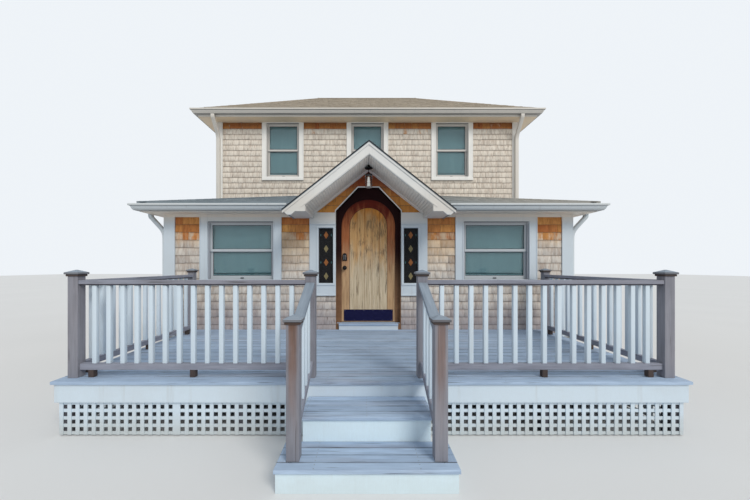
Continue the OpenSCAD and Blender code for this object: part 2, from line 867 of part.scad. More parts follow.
// A square pipe between two points of a path that stays in one upright plane
module pipe_leg(a, b) {
    translate([0, -spout_w / 2, 0]) rotate([90, 0, 0]) mirror([0, 0, 1])
        linear_extrude(spout_w) polygon([[a[0] - spout_w / 2, a[1]],
            [a[0] + spout_w / 2, a[1]], [b[0] + spout_w / 2, b[1]],
            [b[0] - spout_w / 2, b[1]]]);
}

// A downspout in its own plane: x is the distance out from the wall to the pipe's middle
module downspout(out, top, bottom) {
    wall_side = spout_w / 2;
    pipe_leg([out, top], [out, top - 40]);
    pipe_leg([out, top - 40], [wall_side, top - 40 - out + wall_side - 60]);
    pipe_leg([wall_side, top - 40 - out + wall_side - 60], [wall_side, bottom]);
}

module downspouts() {
    upper_top = upper_soffit_z + upper_gutter_lift;
    lower_top = lower_soffit_z + gutter_lift;
    upper_out = main_overhang + gutter_d * 0.35;
    lower_out = lower_overhang + gutter_d * 0.35;
    spout_x = half_w - spout_w / 2 - 2;
    roof_z = lower_eave_z + (lower_overhang + spout_w) * lower_slope + 25;
    color(white) for (s = [-1, 1]) {
        translate([s * spout_x, main_y - trim_t, 0]) rotate(-90)
            downspout(upper_out - trim_t, upper_top, roof_z);
        on_side(s) translate([half_w + trim_t, front_y + corner_w / 2, 0])
            downspout(lower_out - trim_t, lower_top, deck_top * 0.25);
    }
}

module corner_board(w, z0, z1) {
    translate([-trim_t, -trim_t, z0]) linear_extrude(z1 - z0)
        difference() {
            square(w + trim_t);
            translate([trim_t, trim_t]) square(w + trim_t);
        }
}

module corner_boards() {
    color(white) {
        for (s = [-1, 1]) {
            on_side(s) translate([half_w, front_y, 0]) rotate(90)
                corner_board(corner_w, floor_bottom, lower_soffit_z - frieze_h);
            on_side(s) translate([half_w, rear_y, 0]) rotate(180)
                corner_board(upper_corner_w, floor_bottom, upper_soffit_z);
            difference() {
                on_side(s) translate([half_w, main_y, 0]) rotate(90)
                    corner_board(upper_corner_w,
                        lower_eave_z - cover_t + lower_overhang * lower_slope, upper_soffit_z);
                lean_volume(drip, 0, 0);
            }
        }
    }
}

module window_casings() {
    color(white) for (entry = all_windows)
        on_wall(entry[0]) translate([entry[1][0], 0, 0]) casing(entry[0], entry[1]);
}

module window_sashes() {
    color(white) for (entry = all_windows)
        on_wall(entry[0]) translate([entry[1][0], 0, entry[1][1]]) sash_set(entry[1]);
}

module window_glass() {
    color([0.35, 0.50, 0.54, 0.6]) for (entry = all_windows)
        on_wall(entry[0]) translate([entry[1][0], 0, entry[1][1]]) sash_glass(entry[1]);
}

module window_shades() {
    color([0.50, 0.58, 0.58]) for (entry = all_windows)
        on_wall(entry[0]) translate([entry[1][0], 0, entry[1][1]]) shade(entry[1]);
}

// White boards round each sidelight, with a ledge at the top and bottom
module entry_surround() {
    z0 = deck_top + surround_bottom;
    z1 = deck_top + surround_top;
    color(white) for (s = [-1, 1]) difference() {
        union() {
            intersection() {
                translate([s > 0 ? recess_half_w : -recess_half_w - surround_w,
                    front_y - trim_t, z0])
                    cube([surround_w, trim_t, z1 - z0]);
                porch_prism(porch_y, front_y + 1, porch_t + seat, deck_top);
            }
            translate([s > 0 ? sidelight_x - 34 : -sidelight_x - sidelight_w - 34,
                front_y - trim_t - 12, deck_top + sidelight_sill - 34])
                cube([sidelight_w + 68, 12, sidelight_h + 68]);
        }
        sidelight_hole(s, 0);
        on_side(s) translate([porch_foot_x, porch_y, porch_foot_z])
            cube([surround_w, porch_depth, surround_w]);
    }
}

module sidelight_glass() {
    color([0.20, 0.22, 0.25]) for (s = [-1, 1])
        translate([s > 0 ? sidelight_x : -sidelight_x - sidelight_w,
            front_y + 20, deck_top + sidelight_sill])
            cube([sidelight_w, 12, sidelight_h]);
}

// The door's outline in front view: a straight leaf under a half round
module door_outline(grow) {
    r = door_w / 2 + grow;
    translate([-r, door_bottom - grow]) square([2 * r, door_arch_z - door_bottom + grow]);
    translate([0, door_arch_z]) circle(r, $fn = 96);
}

module door_frame() {
    sill_z = deck_top + threshold_h;
    stop_t = 16;
    color([0.16, 0.09, 0.07]) {
        difference() {
            translate([0, wall_t / 2, 0]) rotate([90, 0, 0])
                linear_extrude(wall_t / 2 - door_stop_y + stop_t)
                intersection() {
                    recess_outline();
                    translate([-far / 2, sill_z]) square([far, far]);
                }
            translate([0, wall_t, 0]) rotate([90, 0, 0])
                linear_extrude(wall_t - door_stop_y) door_outline(door_gap);
            translate([0, wall_t, 0]) rotate([90, 0, 0]) linear_extrude(2 * wall_t)
                door_outline(-stop_t);
            translate([-door_w / 2 + stop_t, -wall_t, sill_z - 1])
                cube([door_w - 2 * stop_t, 2 * wall_t, 100]);
        }
    }
}

module door_threshold() {
    color(grey_wood) {
        translate([-door_w / 2 - 20, front_y - threshold_out, deck_top])
            cube([door_w + 40, threshold_out, threshold_h]);
        translate([-recess_half_w, front_y, floor_top])
            cube([2 * recess_half_w, wall_t, threshold_h - floor_rise]);
    }
}

module door_slab(grow, y0, t) {
    translate([0, y0 + t, 0]) rotate([90, 0, 0]) linear_extrude(t) door_outline(grow);
}

module front_door() {
    color([0.42, 0.22, 0.13]) difference() {
        door_slab(0, door_front, door_t);
        door_slab(-door_rim, door_front - 1, door_sink + 1);
    }
}

plank_gap = 5;
module door_planks() {
    field_w = door_w - 2 * door_rim;
    plank_w = (field_w + plank_gap) / plank_count - plank_gap;
    color([0.72, 0.52, 0.32]) intersection() {
        door_slab(-door_rim - 0.3, door_front + door_sink - 6, 6);
        for (i = [0 : plank_count - 1])
            translate([-field_w / 2 + i * (plank_w + plank_gap), door_front - 50, 0])
                cube([plank_w, 100, 2 * door_h]);
    }
}

module door_hardware() {
    knob_x = -door_w / 2 + 66;
    color([0.12, 0.12, 0.13]) {
        translate([knob_x, door_front, door_bottom + knob_h]) rotate([90, 0, 0]) {
            cylinder(r = knob_r, h = 8);
            cylinder(r = 11, h = 45);
            translate([0, 0, 48]) sphere(knob_r * 0.9);
        }
        translate([knob_x - 32, door_front - 24, door_bottom + knob_h + 120])
            cube([64, 24, 120]);
        for (h = hinge_heights) hinge_leaf(h);
    }
}

knuckle_h = hinge_h / 3;
// The door's half of a hinge: a leaf on the inside face and the middle knuckle
module hinge_leaf(h) {
    z = door_bottom + h;
    difference() {
        union() {
            translate([hinge_x - 70, door_back, z + 0.5])
                cube([70, 3, knuckle_h * 3 - 1]);
            translate([hinge_x - knuckle_r, door_back, z + knuckle_h + 0.5])
                cube([knuckle_r, hinge_y - door_back, knuckle_h - 1]);
            translate([hinge_x, hinge_y, z + knuckle_h + 0.5])
                cylinder(r = knuckle_r, h = knuckle_h - 1);
        }
        translate([hinge_x, hinge_y, z - 1]) cylinder(r = pin_r + pin_play, h = hinge_h + 2);
        for (k = [0, 2])
            translate([hinge_x - knuckle_r - 5, door_back - 1, z + k * knuckle_h - 1])
                cube([2 * knuckle_r, 40, knuckle_h + 1.5]);
    }
}

// The frame's half of a hinge: a leaf on the frame, two knuckles and the pin
module hinge_pins() {
    color([0.12, 0.12, 0.13]) for (h = hinge_heights) {
        z = door_bottom + h;
        translate([hinge_x, hinge_y, z]) cylinder(r = pin_r, h = hinge_h);
        for (k = [0, 2]) translate([0, 0, z + k * knuckle_h]) {
            translate([hinge_x, hinge_y, 0]) cylinder(r = knuckle_r, h = knuckle_h);
            translate([hinge_x, wall_t / 2, 0])
                cube([60, 3, knuckle_h]);
            translate([hinge_x, wall_t / 2, 0])
                cube([knuckle_r, hinge_y - wall_t / 2, knuckle_h]);
        }
    }
}

module kick_plate() {
    color([0.10, 0.11, 0.20])
        translate([-door_w / 2 + 52, door_front - 4, door_bottom + 12])
        cube([door_w - 104, 4, kick_h]);
}

lantern_y = front_y - lantern_out;
lantern_top = porch_ridge_z - porch_t - 130;
module entry_lantern() {
    base = lantern_top - lantern_h;
    color([0.10, 0.10, 0.10]) {
        intersection() {
            translate([0, lantern_y, lantern_top + 60]) cylinder(r = canopy_r, h = 200);
            porch_prism(porch_y, front_y, porch_t, 0);
        }
        translate([0, lantern_y, lantern_top - 5]) cylinder(r = 7, h = 70);
        translate([0, lantern_y, lantern_top - 30])
            cylinder(r1 = lantern_r + 8, r2 = 12, h = 30);
        translate([0, lantern_y, base]) cylinder(r = lantern_r + 6, h = 14);
        for (a = [45 : 90 : 315])
            translate([0, lantern_y, base]) rotate(a) translate([lantern_r + 1, -3, 0])
                cube([5, 6, lantern_h - 28]);
    }
}

module lantern_glass() {
    base = lantern_top - lantern_h;
    color([0.85, 0.88, 0.90, 0.5]) translate([0, lantern_y, base + 14]) difference() {
        cylinder(r = lantern_r, h = lantern_h - 44);
        translate([0, 0, -1]) cylinder(r = lantern_r - 4, h = lantern_h);
    }
}

board_count = floor((deck_depth + 6) / (board_w + 5));
board_gap = (deck_depth - board_count * board_w) / (board_count - 1);
module deck_boards() {
    color(grey_wood) for (i = [0 : board_count - 1])
        translate([-deck_w / 2, deck_front + i * (board_w + board_gap), frame_top])
            cube([deck_w, board_w, board_t]);
}

joist_count = floor((2 * deck_frame_half_w - joist_t) / joist_pitch) + 1;
joist_step = (2 * deck_frame_half_w - joist_t) / joist_count;
// A rim in front and a ledger on the wall, with the joists between them
module deck_frame() {
    color([0.55, 0.45, 0.32]) for (y = [deck_frame_front, front_y - joist_t])
        translate([-deck_frame_half_w, y, frame_bottom])
            cube([2 * deck_frame_half_w, joist_t, fascia_h]);
}

module deck_joists() {
    color([0.55, 0.45, 0.32]) for (i = [0 : joist_count])
        translate([-deck_frame_half_w + i * joist_step, deck_frame_front + joist_t,
            frame_bottom])
            cube([joist_t, front_y - deck_frame_front - 2 * joist_t, fascia_h]);
}

// Posts under the rim: one inside each side lattice and three under joists between them
module deck_piers() {
    end_x = deck_frame_half_w - 2 * lattice_t - post_w / 2;
    joist_x = [
        for (k = [1 : 3])
            round(k * joist_count / 4) * joist_step + joist_t / 2 - deck_frame_half_w
    ];
    color([0.55, 0.45, 0.32]) for (x = concat(-end_x, joist_x, end_x))
        translate([x - post_w / 2, deck_frame_front + 2 * lattice_t, 0])
            cube([post_w, post_w, frame_bottom]);
}

module deck_fascia() {
    color(white) {
        translate([-deck_frame_half_w - trim_t, deck_frame_front - trim_t, frame_bottom])
            cube([2 * deck_frame_half_w + 2 * trim_t, trim_t, fascia_h]);
        for (s = [-1, 1])
            translate([s > 0 ? deck_frame_half_w : -deck_frame_half_w - trim_t,
                deck_frame_front, frame_bottom])
                cube([trim_t, front_y - deck_frame_front, fascia_h]);
    }
}

// A flat square lattice along X: upright bars in front, level bars behind, fused
module lattice(length) {
    h = frame_bottom - lattice_gap;
    columns = floor((length - lattice_bar) / lattice_pitch);
    step = (length - lattice_bar) / columns;
    rows = round((h - lattice_rail) / lattice_pitch);
    row_step = (h - lattice_rail) / rows;
    for (i = [0 : columns])
        translate([i * step, 0, lattice_gap]) cube([lattice_bar, lattice_t, h]);
    for (j = [0 : rows])
        translate([0, lattice_t - 2, lattice_gap + j * row_step])
            cube([length, lattice_t, lattice_rail]);
}

// The front lattices end behind the stringers of the steps
lattice_end = flight_w / 2 - 2 * step_nose;
module front_lattice() {
    left_w = deck_frame_half_w + steps_x - lattice_end;
    right_w = deck_frame_half_w - steps_x - lattice_end;
    color(white) {
        translate([-deck_frame_half_w, deck_frame_front, 0]) {
            lattice(lattice_joint);
            translate([lattice_joint, 0, 0]) lattice(left_w - lattice_joint);
        }
        translate([deck_frame_half_w - right_w, deck_frame_front, 0]) lattice(right_w);
    }
}

module side_lattice() {
    length = front_y - deck_frame_front - 2 * lattice_t;
    color(white) {
        translate([-deck_frame_half_w, front_y - 2, 0]) rotate(-90) lattice(length);
        translate([deck_frame_half_w, front_y - 2 - length, 0]) rotate(90) lattice(length);
    }
}

// A square post on z = 0, with a moulding round its top under a pyramid cap
module post(h) {
    collar_w = post_w + cap_out;
    translate([-post_w / 2, -post_w / 2, 0]) cube([post_w, post_w, h]);
    translate([-collar_w / 2, -collar_w / 2, h - cap_h * 0.5])
        cube([collar_w, collar_w, cap_h * 0.5]);
    translate([-post_w / 2 - cap_out, -post_w / 2 - cap_out, h])
        cube([post_w + 2 * cap_out, post_w + 2 * cap_out, cap_h * 0.4]);
    translate([0, 0, h + cap_h * 0.4]) rotate(45)
        cylinder(d1 = (post_w + 2 * cap_out) * sqrt(2), d2 = 10, h = cap_h * 0.6, $fn = 4);
}

rear_post_y = front_y - rear_post_gap;
// The place of the stair posts, and the span of rail from them to the outer post
function stair_x(s) = steps_x + s * stair_post_x;
function front_len(s) = post_x - s * stair_x(s) - post_w;
function front_mid(s) = (s * post_x + stair_x(s)) / 2;
side_len = rear_post_y - post_line - post_w;
side_mid = (rear_post_y + post_line) / 2;
deck_post_h = rail_h + post_above;
lower_post_h = deck_post_h + 20;
module railing_posts() {
    color(grey_wood) for (s = [-1, 1]) {
        translate([s * post_x, post_line, deck_top]) post(deck_post_h);
        translate([s * post_x, rear_post_y, deck_top]) post(deck_post_h);
        translate([stair_x(s), post_line, deck_top]) post(deck_post_h);
        translate([stair_x(s), lower_post_y, landing_top]) post(lower_post_h);
    }
}

module rails() {
    color(grey_wood) for (s = [-1, 1]) {
        translate([front_mid(s), post_line, deck_top]) level_rails(front_len(s));
        translate([s * post_x, side_mid, deck_top]) rotate(90) level_rails(side_len);
        stair_rails(s);
    }
}

// Place of the outer blocks under a bottom rail, as a share of its length from the middle
block_x = 0.45;
module level_rails(length) {
    translate([-length / 2, -rail_w / 2, rail_h - rail_t]) cube([length, rail_w, rail_t]);
    translate([-length / 2, -low_rail_w / 2, low_rail_h])
        cube([length, low_rail_w, low_rail_t]);
    for (x = [-1, 0, 1] * block_x)
        translate([x * length - low_rail_w / 2, -low_rail_w / 2, 0])
            cube([low_rail_w, low_rail_w, low_rail_h]);
}

// The stair railing falls from the upper post to the lower one
stair_y0 = lower_post_y + post_w / 2;
stair_y1 = post_line - post_w / 2;
stair_fall = deck_top - landing_top;
stair_grade = stair_fall / (post_line - lower_post_y);
function stair_z(y) = deck_top - (post_line - y) * stair_grade;
module sloped_bar(w, z0, t) {
    translate([-w / 2, 0, 0]) rotate([90, 0, 90]) linear_extrude(w)
        polygon([[stair_y0, stair_z(stair_y0) + z0], [stair_y1, stair_z(stair_y1) + z0],
            [stair_y1, stair_z(stair_y1) + z0 + t], [stair_y0, stair_z(stair_y0) + z0 + t]]);
}

module stair_rails(s) {
    translate([stair_x(s), 0, 0]) {
        sloped_bar(rail_w, rail_h - rail_t, rail_t);
        sloped_bar(low_rail_w, low_rail_h + stair_rail_lift, low_rail_t);
    }
}

module balusters() {
    color(white) for (s = [-1, 1]) {
        translate([front_mid(s), post_line, deck_top]) baluster_row(front_len(s));
        translate([s * post_x, side_mid, deck_top]) rotate(90) baluster_row(side_len);
        stair_balusters(s);
    }
}

baluster_low = low_rail_h + low_rail_t;
baluster_high = rail_h - rail_t;
module baluster_row(length) {
    count = round(length / baluster_pitch) - 1;
    step = length / (count + 1);
    for (i = [1 : count])
        translate([-length / 2 + i * step - baluster_w / 2, -baluster_w / 2, baluster_low])
            cube([baluster_w, baluster_w, baluster_high - baluster_low]);
}

module stair_balusters(s) {
    length = stair_y1 - stair_y0;
    count = round(length / baluster_pitch) - 1;
    step = length / (count + 1);
    low = baluster_low + stair_rail_lift;
    for (i = [1 : count]) {
        y = stair_y0 + i * step;
        half = baluster_w / 2;
        translate([stair_x(s) - half, 0, 0]) rotate([90, 0, 90])
            linear_extrude(baluster_w)
            polygon([[y - half, stair_z(y - half) + low],
                [y + half, stair_z(y + half) + low],
                [y + half, stair_z(y + half) + baluster_high],
                [y - half, stair_z(y - half) + baluster_high]]);
    }
}

// A step's boards lie side by side with a small gap between them
step_gap = 5;
module step_boards(width, y0, depth, top, count) {
    w = (depth - (count - 1) * step_gap) / count;
    for (i = [0 : count - 1])
        translate([-width / 2, y0 + i * (w + step_gap), top - board_t])
            cube([width, w, board_t]);
}

// The lowest step has a full front board and a border board at each side
module landing_boards() {
    depth = landing_d + step_nose;
    w = (depth - (landing_boards_n - 1) * step_gap) / landing_boards_n;
    y1 = landing_front + w + step_gap;
    step_boards(landing_w, landing_front, w, landing_top, 1);
    step_boards(landing_w - 2 * (w + step_gap), y1, depth - w - step_gap, landing_top,
        landing_boards_n - 1);
    for (s = [-1, 1]) on_side(s)
        translate([landing_w / 2 - w, y1, landing_top - board_t])
            cube([w, depth - w - step_gap, board_t]);
}

module step_treads() {
    color(grey_wood) translate([steps_x, 0, 0]) {
        landing_boards();
        step_boards(flight_w, deck_front - tread_d, tread_d + deck_nosing - seat, tread_top,
            tread_boards_n);
    }
}

// Place of the bearers in the box under the lowest step, as a share of its width
bearer_x = 0.3;
// White boards: a box with bearers under the lowest step, then a riser and stringers behind it
module step_carriage() {
    box_w = landing_w - step_nose;
    box_y = landing_front + step_nose;
    riser_y = deck_front - tread_d + step_nose;
    box_d = riser_y + riser_t - box_y;
    under_landing = landing_top - board_t;
    under_tread = tread_top - board_t;
    inner = flight_w - 2 * step_nose;
    color(white) translate([steps_x, 0, 0]) {
        difference() {
            translate([-box_w / 2, box_y, 0]) cube([box_w, box_d, under_landing]);
            translate([-box_w / 2 + riser_t, box_y + riser_t, -1])
                cube([box_w - 2 * riser_t, box_d - 2 * riser_t, under_landing + 2]);
        }
        for (s = [-1, 1])
            translate([s * bearer_x * box_w - riser_t / 2, box_y, 0])
                cube([riser_t, box_d, under_landing]);
        translate([-inner / 2, riser_y, 0]) cube([inner, riser_t, under_tread]);
        for (s = [-1, 1])
            translate([s > 0 ? inner / 2 - riser_t : -inner / 2, riser_y, 0])
                cube([riser_t, tread_d - step_nose + deck_nosing, under_tread]);
    }
}

foundation_front();
foundation_sides();
foundation_rear();
ground_floor();
front_wall_left();
front_wall_right();
front_wall_over_door();
front_side_walls();
lower_side_walls();
lower_rear_wall();
floor_beam();
upper_floor();
upper_front_wall();
upper_side_walls();
upper_rear_wall();
lower_roof_deck();
lower_roof_covering();
main_roof_deck();
main_roof_covering();
porch_gable();
porch_covering();
rake_boards();
lower_eaves();
upper_eaves();
gutters();
downspouts();
corner_boards();
window_casings();
window_sashes();
window_glass();
window_shades();
entry_surround();
sidelight_glass();
door_frame();
door_threshold();
front_door();
door_planks();
door_hardware();
kick_plate();
hinge_pins();
entry_lantern();
lantern_glass();
deck_boards();
deck_frame();
deck_joists();
deck_piers();
deck_fascia();
front_lattice();
side_lattice();
railing_posts();
rails();
balusters();
step_treads();
step_carriage();
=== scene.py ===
"""The looks of a shingled beach house with a hipped roof, a gabled entry and a front deck."""
import math
import random

import bpy
import numpy as np
from mathutils import Matrix, Vector


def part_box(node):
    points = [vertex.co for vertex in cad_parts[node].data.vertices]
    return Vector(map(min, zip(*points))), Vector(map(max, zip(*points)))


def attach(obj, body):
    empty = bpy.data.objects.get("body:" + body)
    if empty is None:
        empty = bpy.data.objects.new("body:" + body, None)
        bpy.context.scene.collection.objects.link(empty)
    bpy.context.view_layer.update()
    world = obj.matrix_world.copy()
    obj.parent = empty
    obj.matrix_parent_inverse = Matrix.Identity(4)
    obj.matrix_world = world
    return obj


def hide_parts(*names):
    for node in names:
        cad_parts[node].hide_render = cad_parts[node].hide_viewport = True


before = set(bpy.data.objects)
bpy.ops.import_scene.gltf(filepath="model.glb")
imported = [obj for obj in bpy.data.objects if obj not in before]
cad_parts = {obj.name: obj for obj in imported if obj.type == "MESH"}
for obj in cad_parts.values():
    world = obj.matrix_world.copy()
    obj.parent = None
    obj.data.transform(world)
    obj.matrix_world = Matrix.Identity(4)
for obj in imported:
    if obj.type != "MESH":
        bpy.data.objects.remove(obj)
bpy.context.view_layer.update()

chance = random.Random(11)

# Places taken from the frame, in metres
front_wall_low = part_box("front_wall_left")[0]
half_w = -front_wall_low.x
front_y = front_wall_low.y
floor_top = front_wall_low.z
upper_wall_low, upper_wall_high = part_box("upper_front_wall")
main_y = upper_wall_low.y
rear_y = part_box("upper_rear_wall")[1].y
wall_t = upper_wall_high.y - upper_wall_low.y
foundation_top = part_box("foundation_front")[1].z
frieze_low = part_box("lower_eaves")[0]
upper_soffit_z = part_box("upper_eaves")[0].z
deck_low, deck_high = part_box("deck_boards")
deck_top = deck_high.z
porch_low, porch_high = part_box("porch_covering")
door_low, door_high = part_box("front_door")
side_win_y = (main_y + rear_y) / 2

# Sizes that the frame's boxes do not give
frieze_h = 0.047
lower_soffit_z = frieze_low.z + frieze_h
eave_h = 0.175
upper_eave_h = 0.202
lower_over = 0.25
main_over = 0.29
corner_w = 0.152
upper_corner_w = 0.113
trim_t = 0.025
drip = 0.035
lower_slope = 0.25
main_slope = 0.59
porch_slope = 0.79
porch_t = 0.20
porch_cover_t = 0.022
rake_t = 0.032
porch_half_w = 1.21
gutter_lift = 0.018
upper_gutter_lift = 0.042
porch_ridge_z = porch_high.z
recess_half_w = 0.527
recess_top_x = 0.166
recess_top_z = deck_top + 2.3
recess_corner_z = deck_top + 1.925
surround_w = 0.426
surround_low = deck_top + 0.551
surround_high = deck_top + 1.893
steps_low, steps_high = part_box("step_treads")
steps_x = (steps_low.x + steps_high.x) / 2
flight_half = 0.515
deck_half = deck_high.x
board_n = 17
board_w = 0.14
board_gap = (deck_high.y - deck_low.y - board_n * board_w) / (board_n - 1)
tread_n = 4
step_gap = 0.005
tread_y0 = deck_low.y - 0.39
tread_pitch = (steps_high.y - tread_y0 + step_gap) / tread_n
landing_pitch = (tread_y0 + 0.020 - steps_low.y + step_gap) / tread_n
board_joints = ((deck_low.y - board_gap / 2, board_w + board_gap, deck_low.z, deck_top + 0.01),
                (tread_y0 - step_gap / 2, tread_pitch, steps_high.z - 0.04, steps_high.z + 0.01),
                (steps_low.y - step_gap / 2, landing_pitch, steps_low.z - 0.01, steps_low.z + 0.05))
roof_edge_x = half_w + lower_over + drip
roof_edge_y = front_y - lower_over - drip
main_edge_x = half_w + main_over + drip
main_edge_y0 = main_y - main_over - drip
main_edge_y1 = rear_y + main_over + drip
lower_edge_z = lower_soffit_z + eave_h - drip * lower_slope
main_edge_z = upper_soffit_z + upper_eave_h - drip * main_slope

# Windows as (place along the wall, height of the sill, width, height, casing)
lower_front = (2.065, deck_top + 0.792, 1.06, 0.955, 0.13)
upper_front = (1.85, deck_top + 2.965, 0.71, 1.19, 0.10)
sill_out = 0.042
sill_h = 0.062
foot_rail = 0.062


# Modelling


def deselect():
    bpy.ops.object.select_all(action="DESELECT")


def make_active(piece):
    deselect()
    piece.select_set(True)
    bpy.context.view_layer.objects.active = piece


def settle(piece, name):
    """Puts the piece's place into its mesh, so that its object stands at the origin"""
    make_active(piece)
    bpy.ops.object.transform_apply(location=True, rotation=True, scale=True)
    piece.name = name
    piece.data.name = name
    return piece


def finish_with(piece, kind, **settings):
    """Adds a modifier and applies it"""
    make_active(piece)
    modifier = piece.modifiers.new(kind.lower(), kind)
    for key, value in settings.items():
        setattr(modifier, key, value)
    bpy.ops.object.modifier_apply(modifier=modifier.name)
    return piece


def soften(piece, width, segments=2, angle=30):
    """Rounds the sharp edges of a piece"""
    return finish_with(piece, "BEVEL", width=width, segments=segments,
                       limit_method="ANGLE", angle_limit=math.radians(angle))


def pick_faces(piece, test):
    """Enters edit mode with just the faces selected that pass the test"""
    make_active(piece)
    bpy.context.tool_settings.mesh_select_mode = (False, False, True)
    mesh = piece.data
    for kind in (mesh.vertices, mesh.edges, mesh.polygons):
        kind.foreach_set("select", [False] * len(kind))
    for face in mesh.polygons:
        face.select = bool(test(face))
    bpy.ops.object.mode_set(mode="EDIT")


def leave_edit():
    bpy.ops.object.mode_set(mode="OBJECT")


def edit_whole(piece):
    """Enters edit mode with everything selected"""
    make_active(piece)
    bpy.ops.object.mode_set(mode="EDIT")
    bpy.ops.mesh.select_all(action="SELECT")


def outward(piece):
    """Merges doubles and turns every face outwards"""
    edit_whole(piece)
    bpy.ops.mesh.remove_doubles(threshold=0.00005)
    bpy.ops.mesh.normals_make_consistent(inside=False)
    leave_edit()
    return piece


def join(name, pieces):
    make_active(pieces[0])
    for piece in pieces[1:]:
        piece.select_set(True)
    if len(pieces) > 1:
        bpy.ops.object.join()
    pieces[0].name = name
    pieces[0].data.name = name
    return pieces[0]


def new_object(name, data):
    """An object in the scene that holds a mesh, a light or a camera"""
    made = bpy.data.objects.new(name, data)
    bpy.context.scene.collection.objects.link(made)
    return made


def twin(piece, place):
    """A copy of a piece with its own mesh, moved by a matrix"""
    made = new_object(piece.name, piece.data.copy())
    made.data.transform(place)
    return run_figure(made)


def move_by(x=0, y=0, z=0):
    return Matrix.Translation((x, y, z))


def turned_by(degrees, axis):
    return Matrix.Rotation(math.radians(degrees), 4, axis)


def corners_of(piece):
    places = np.empty(len(piece.data.vertices) * 3, np.float32)
    piece.data.vertices.foreach_get("co", places)
    return places.reshape(-1, 3)


def store_figure(piece, places):
    mesh = piece.data
    figure = mesh.attributes.get("figure") or mesh.attributes.new("figure", "FLOAT_VECTOR", "POINT")
    figure.data.foreach_set("vector", places.ravel())
    return piece


def run_figure(piece, direction=None):
    """Stores where each point lies in its own board: first along it, then across"""
    places = corners_of(piece)
    if direction is None:
        direction = Vector((0, 0, 0))
        direction[int(np.ptp(places, axis=0).argmax())] = 1
    side = direction.cross(Vector((0, 0, 1)) if abs(direction.z) < 0.9 else Vector((0, 1, 0)))
    side.normalize()
    turn = np.array([direction, side, direction.cross(side)], np.float32).T
    shift = np.array([chance.uniform(0, 40) for _ in range(3)], np.float32)
    return store_figure(piece, places @ turn + shift)


def block(low, high):
    """A plain block between two opposite corners"""
    low = Vector(low)
    high = Vector(high)
    size = [abs(reach) for reach in high - low]
    deselect()
    bpy.ops.mesh.primitive_cube_add(size=1, location=(low + high) / 2, scale=size)
    return settle(bpy.context.object, "block")


def board(low, high, edge=0.003, segments=2):
    """A board between two opposite corners, with rounded edges and its figure along its length"""
    return run_figure(soften(block(low, high), edge, segments))


def trace(points, closed=True):
    """Draws one vertex out along a list of points, and leaves edit mode open"""
    deselect()
    bpy.ops.mesh.primitive_plane_add(location=points[0])
    bpy.context.tool_settings.mesh_select_mode = (True, False, False)
    bpy.ops.object.mode_set(mode="EDIT")
    bpy.ops.mesh.merge(type="CENTER")
    for start, end in zip(points, points[1:]):
        step = Vector(end) - Vector(start)
        bpy.ops.mesh.extrude_region_move(TRANSFORM_OT_translate={"value": step})
    bpy.ops.mesh.select_all(action="SELECT")
    if closed:
        bpy.ops.mesh.edge_face_add()
    return bpy.context.object


def prism(points, depth, edge=0, segments=2):
    """A solid with the traced outline, drawn out by a vector"""
    piece = trace(points)
    bpy.ops.mesh.extrude_region_move(TRANSFORM_OT_translate={"value": Vector(depth)})
    leave_edit()
    settle(piece, "prism")
    outward(piece)
    if edge:
        soften(piece, edge, segments)
    return run_figure(piece)


def panel(outline, y, depth, edge=0, segments=2, side=1):
    """A solid with an outline in X and Z that starts at y; a side of -1 mirrors it"""
    return prism([(side * x, y, z) for x, z in outline], (0, depth, 0), edge, segments)


def turned(profile, centre, steps=32):
    """A turned piece: a profile of (radius, height) points spun about an upright axis"""
    centre = Vector(centre)
    piece = trace([centre + Vector((radius, 0, height)) for radius, height in profile], False)
    bpy.ops.mesh.spin(steps=steps, angle=math.tau, center=centre, axis=(0, 0, 1))
    leave_edit()
    settle(piece, "turned")
    outward(piece)
    bpy.ops.object.shade_smooth_by_angle(angle=math.radians(40))
    return piece


def ring(low, high, border, edge=0.002, segments=2, foot=None):
    """A rectangular frame in the plane of X and Z, with an opening right through; foot is its bottom bar"""
    piece = block(low, high)
    pick_faces(piece, lambda face: abs(face.normal.y) > 0.9)
    bpy.ops.mesh.inset(thickness=border, use_individual=True)
    bpy.ops.mesh.bridge_edge_loops()
    leave_edit()
    if foot:
        for point in piece.data.vertices:
            if abs(point.co.z - low[2] - border) < 0.0001:
                point.co.z = low[2] + foot
    outward(piece)
    soften(piece, edge, segments)
    return run_figure(piece)


def cut(piece, place, normal, closed=True):
    """Cuts off what lies beyond a plane, on the side that its normal points to; an open cut stays hidden"""
    edit_whole(piece)
    bpy.ops.mesh.bisect(plane_co=place, plane_no=normal, clear_outer=True, use_fill=closed)
    leave_edit()

# Materials


class Field:
    """A shader socket that can be calculated with like a number"""

    def __init__(self, socket):
        self.socket = socket

    def __add__(self, other):
        return calculate("ADD", self, other)

    def __radd__(self, other):
        return calculate("ADD", other, self)

    def __sub__(self, other):
        return calculate("SUBTRACT", self, other)

    def __rsub__(self, other):
        return calculate("SUBTRACT", other, self)

    def __mul__(self, other):
        return calculate("MULTIPLY", self, other)

    def __truediv__(self, other):
        return calculate("DIVIDE", self, other)

    def __abs__(self):
        return calculate("ABSOLUTE", self)


def feed(socket, source):
    """Links a socket to a field, or sets its value; a colour is given without its alpha"""
    if isinstance(source, Field):
        socket.id_data.links.new(source.socket, socket)
    else:
        socket.default_value = (*source, 1) if socket.type == "RGBA" else source


def node_value(kind, inputs, output=0, **settings):
    """Adds a node to the tree that its inputs lie in, and gives one of its outputs as a field"""
    tree = next(source.socket.id_data for source in inputs.values() if isinstance(source, Field))
    node = tree.nodes.new(kind)
    for key, value in settings.items():
        setattr(node, key, value)
    for key, source in inputs.items():
        feed(node.inputs[key], source)
    return Field(node.outputs[output])


def calculate(operation, first, second=0.0):
    return node_value("ShaderNodeMath", {0: first, 1: second}, operation=operation)


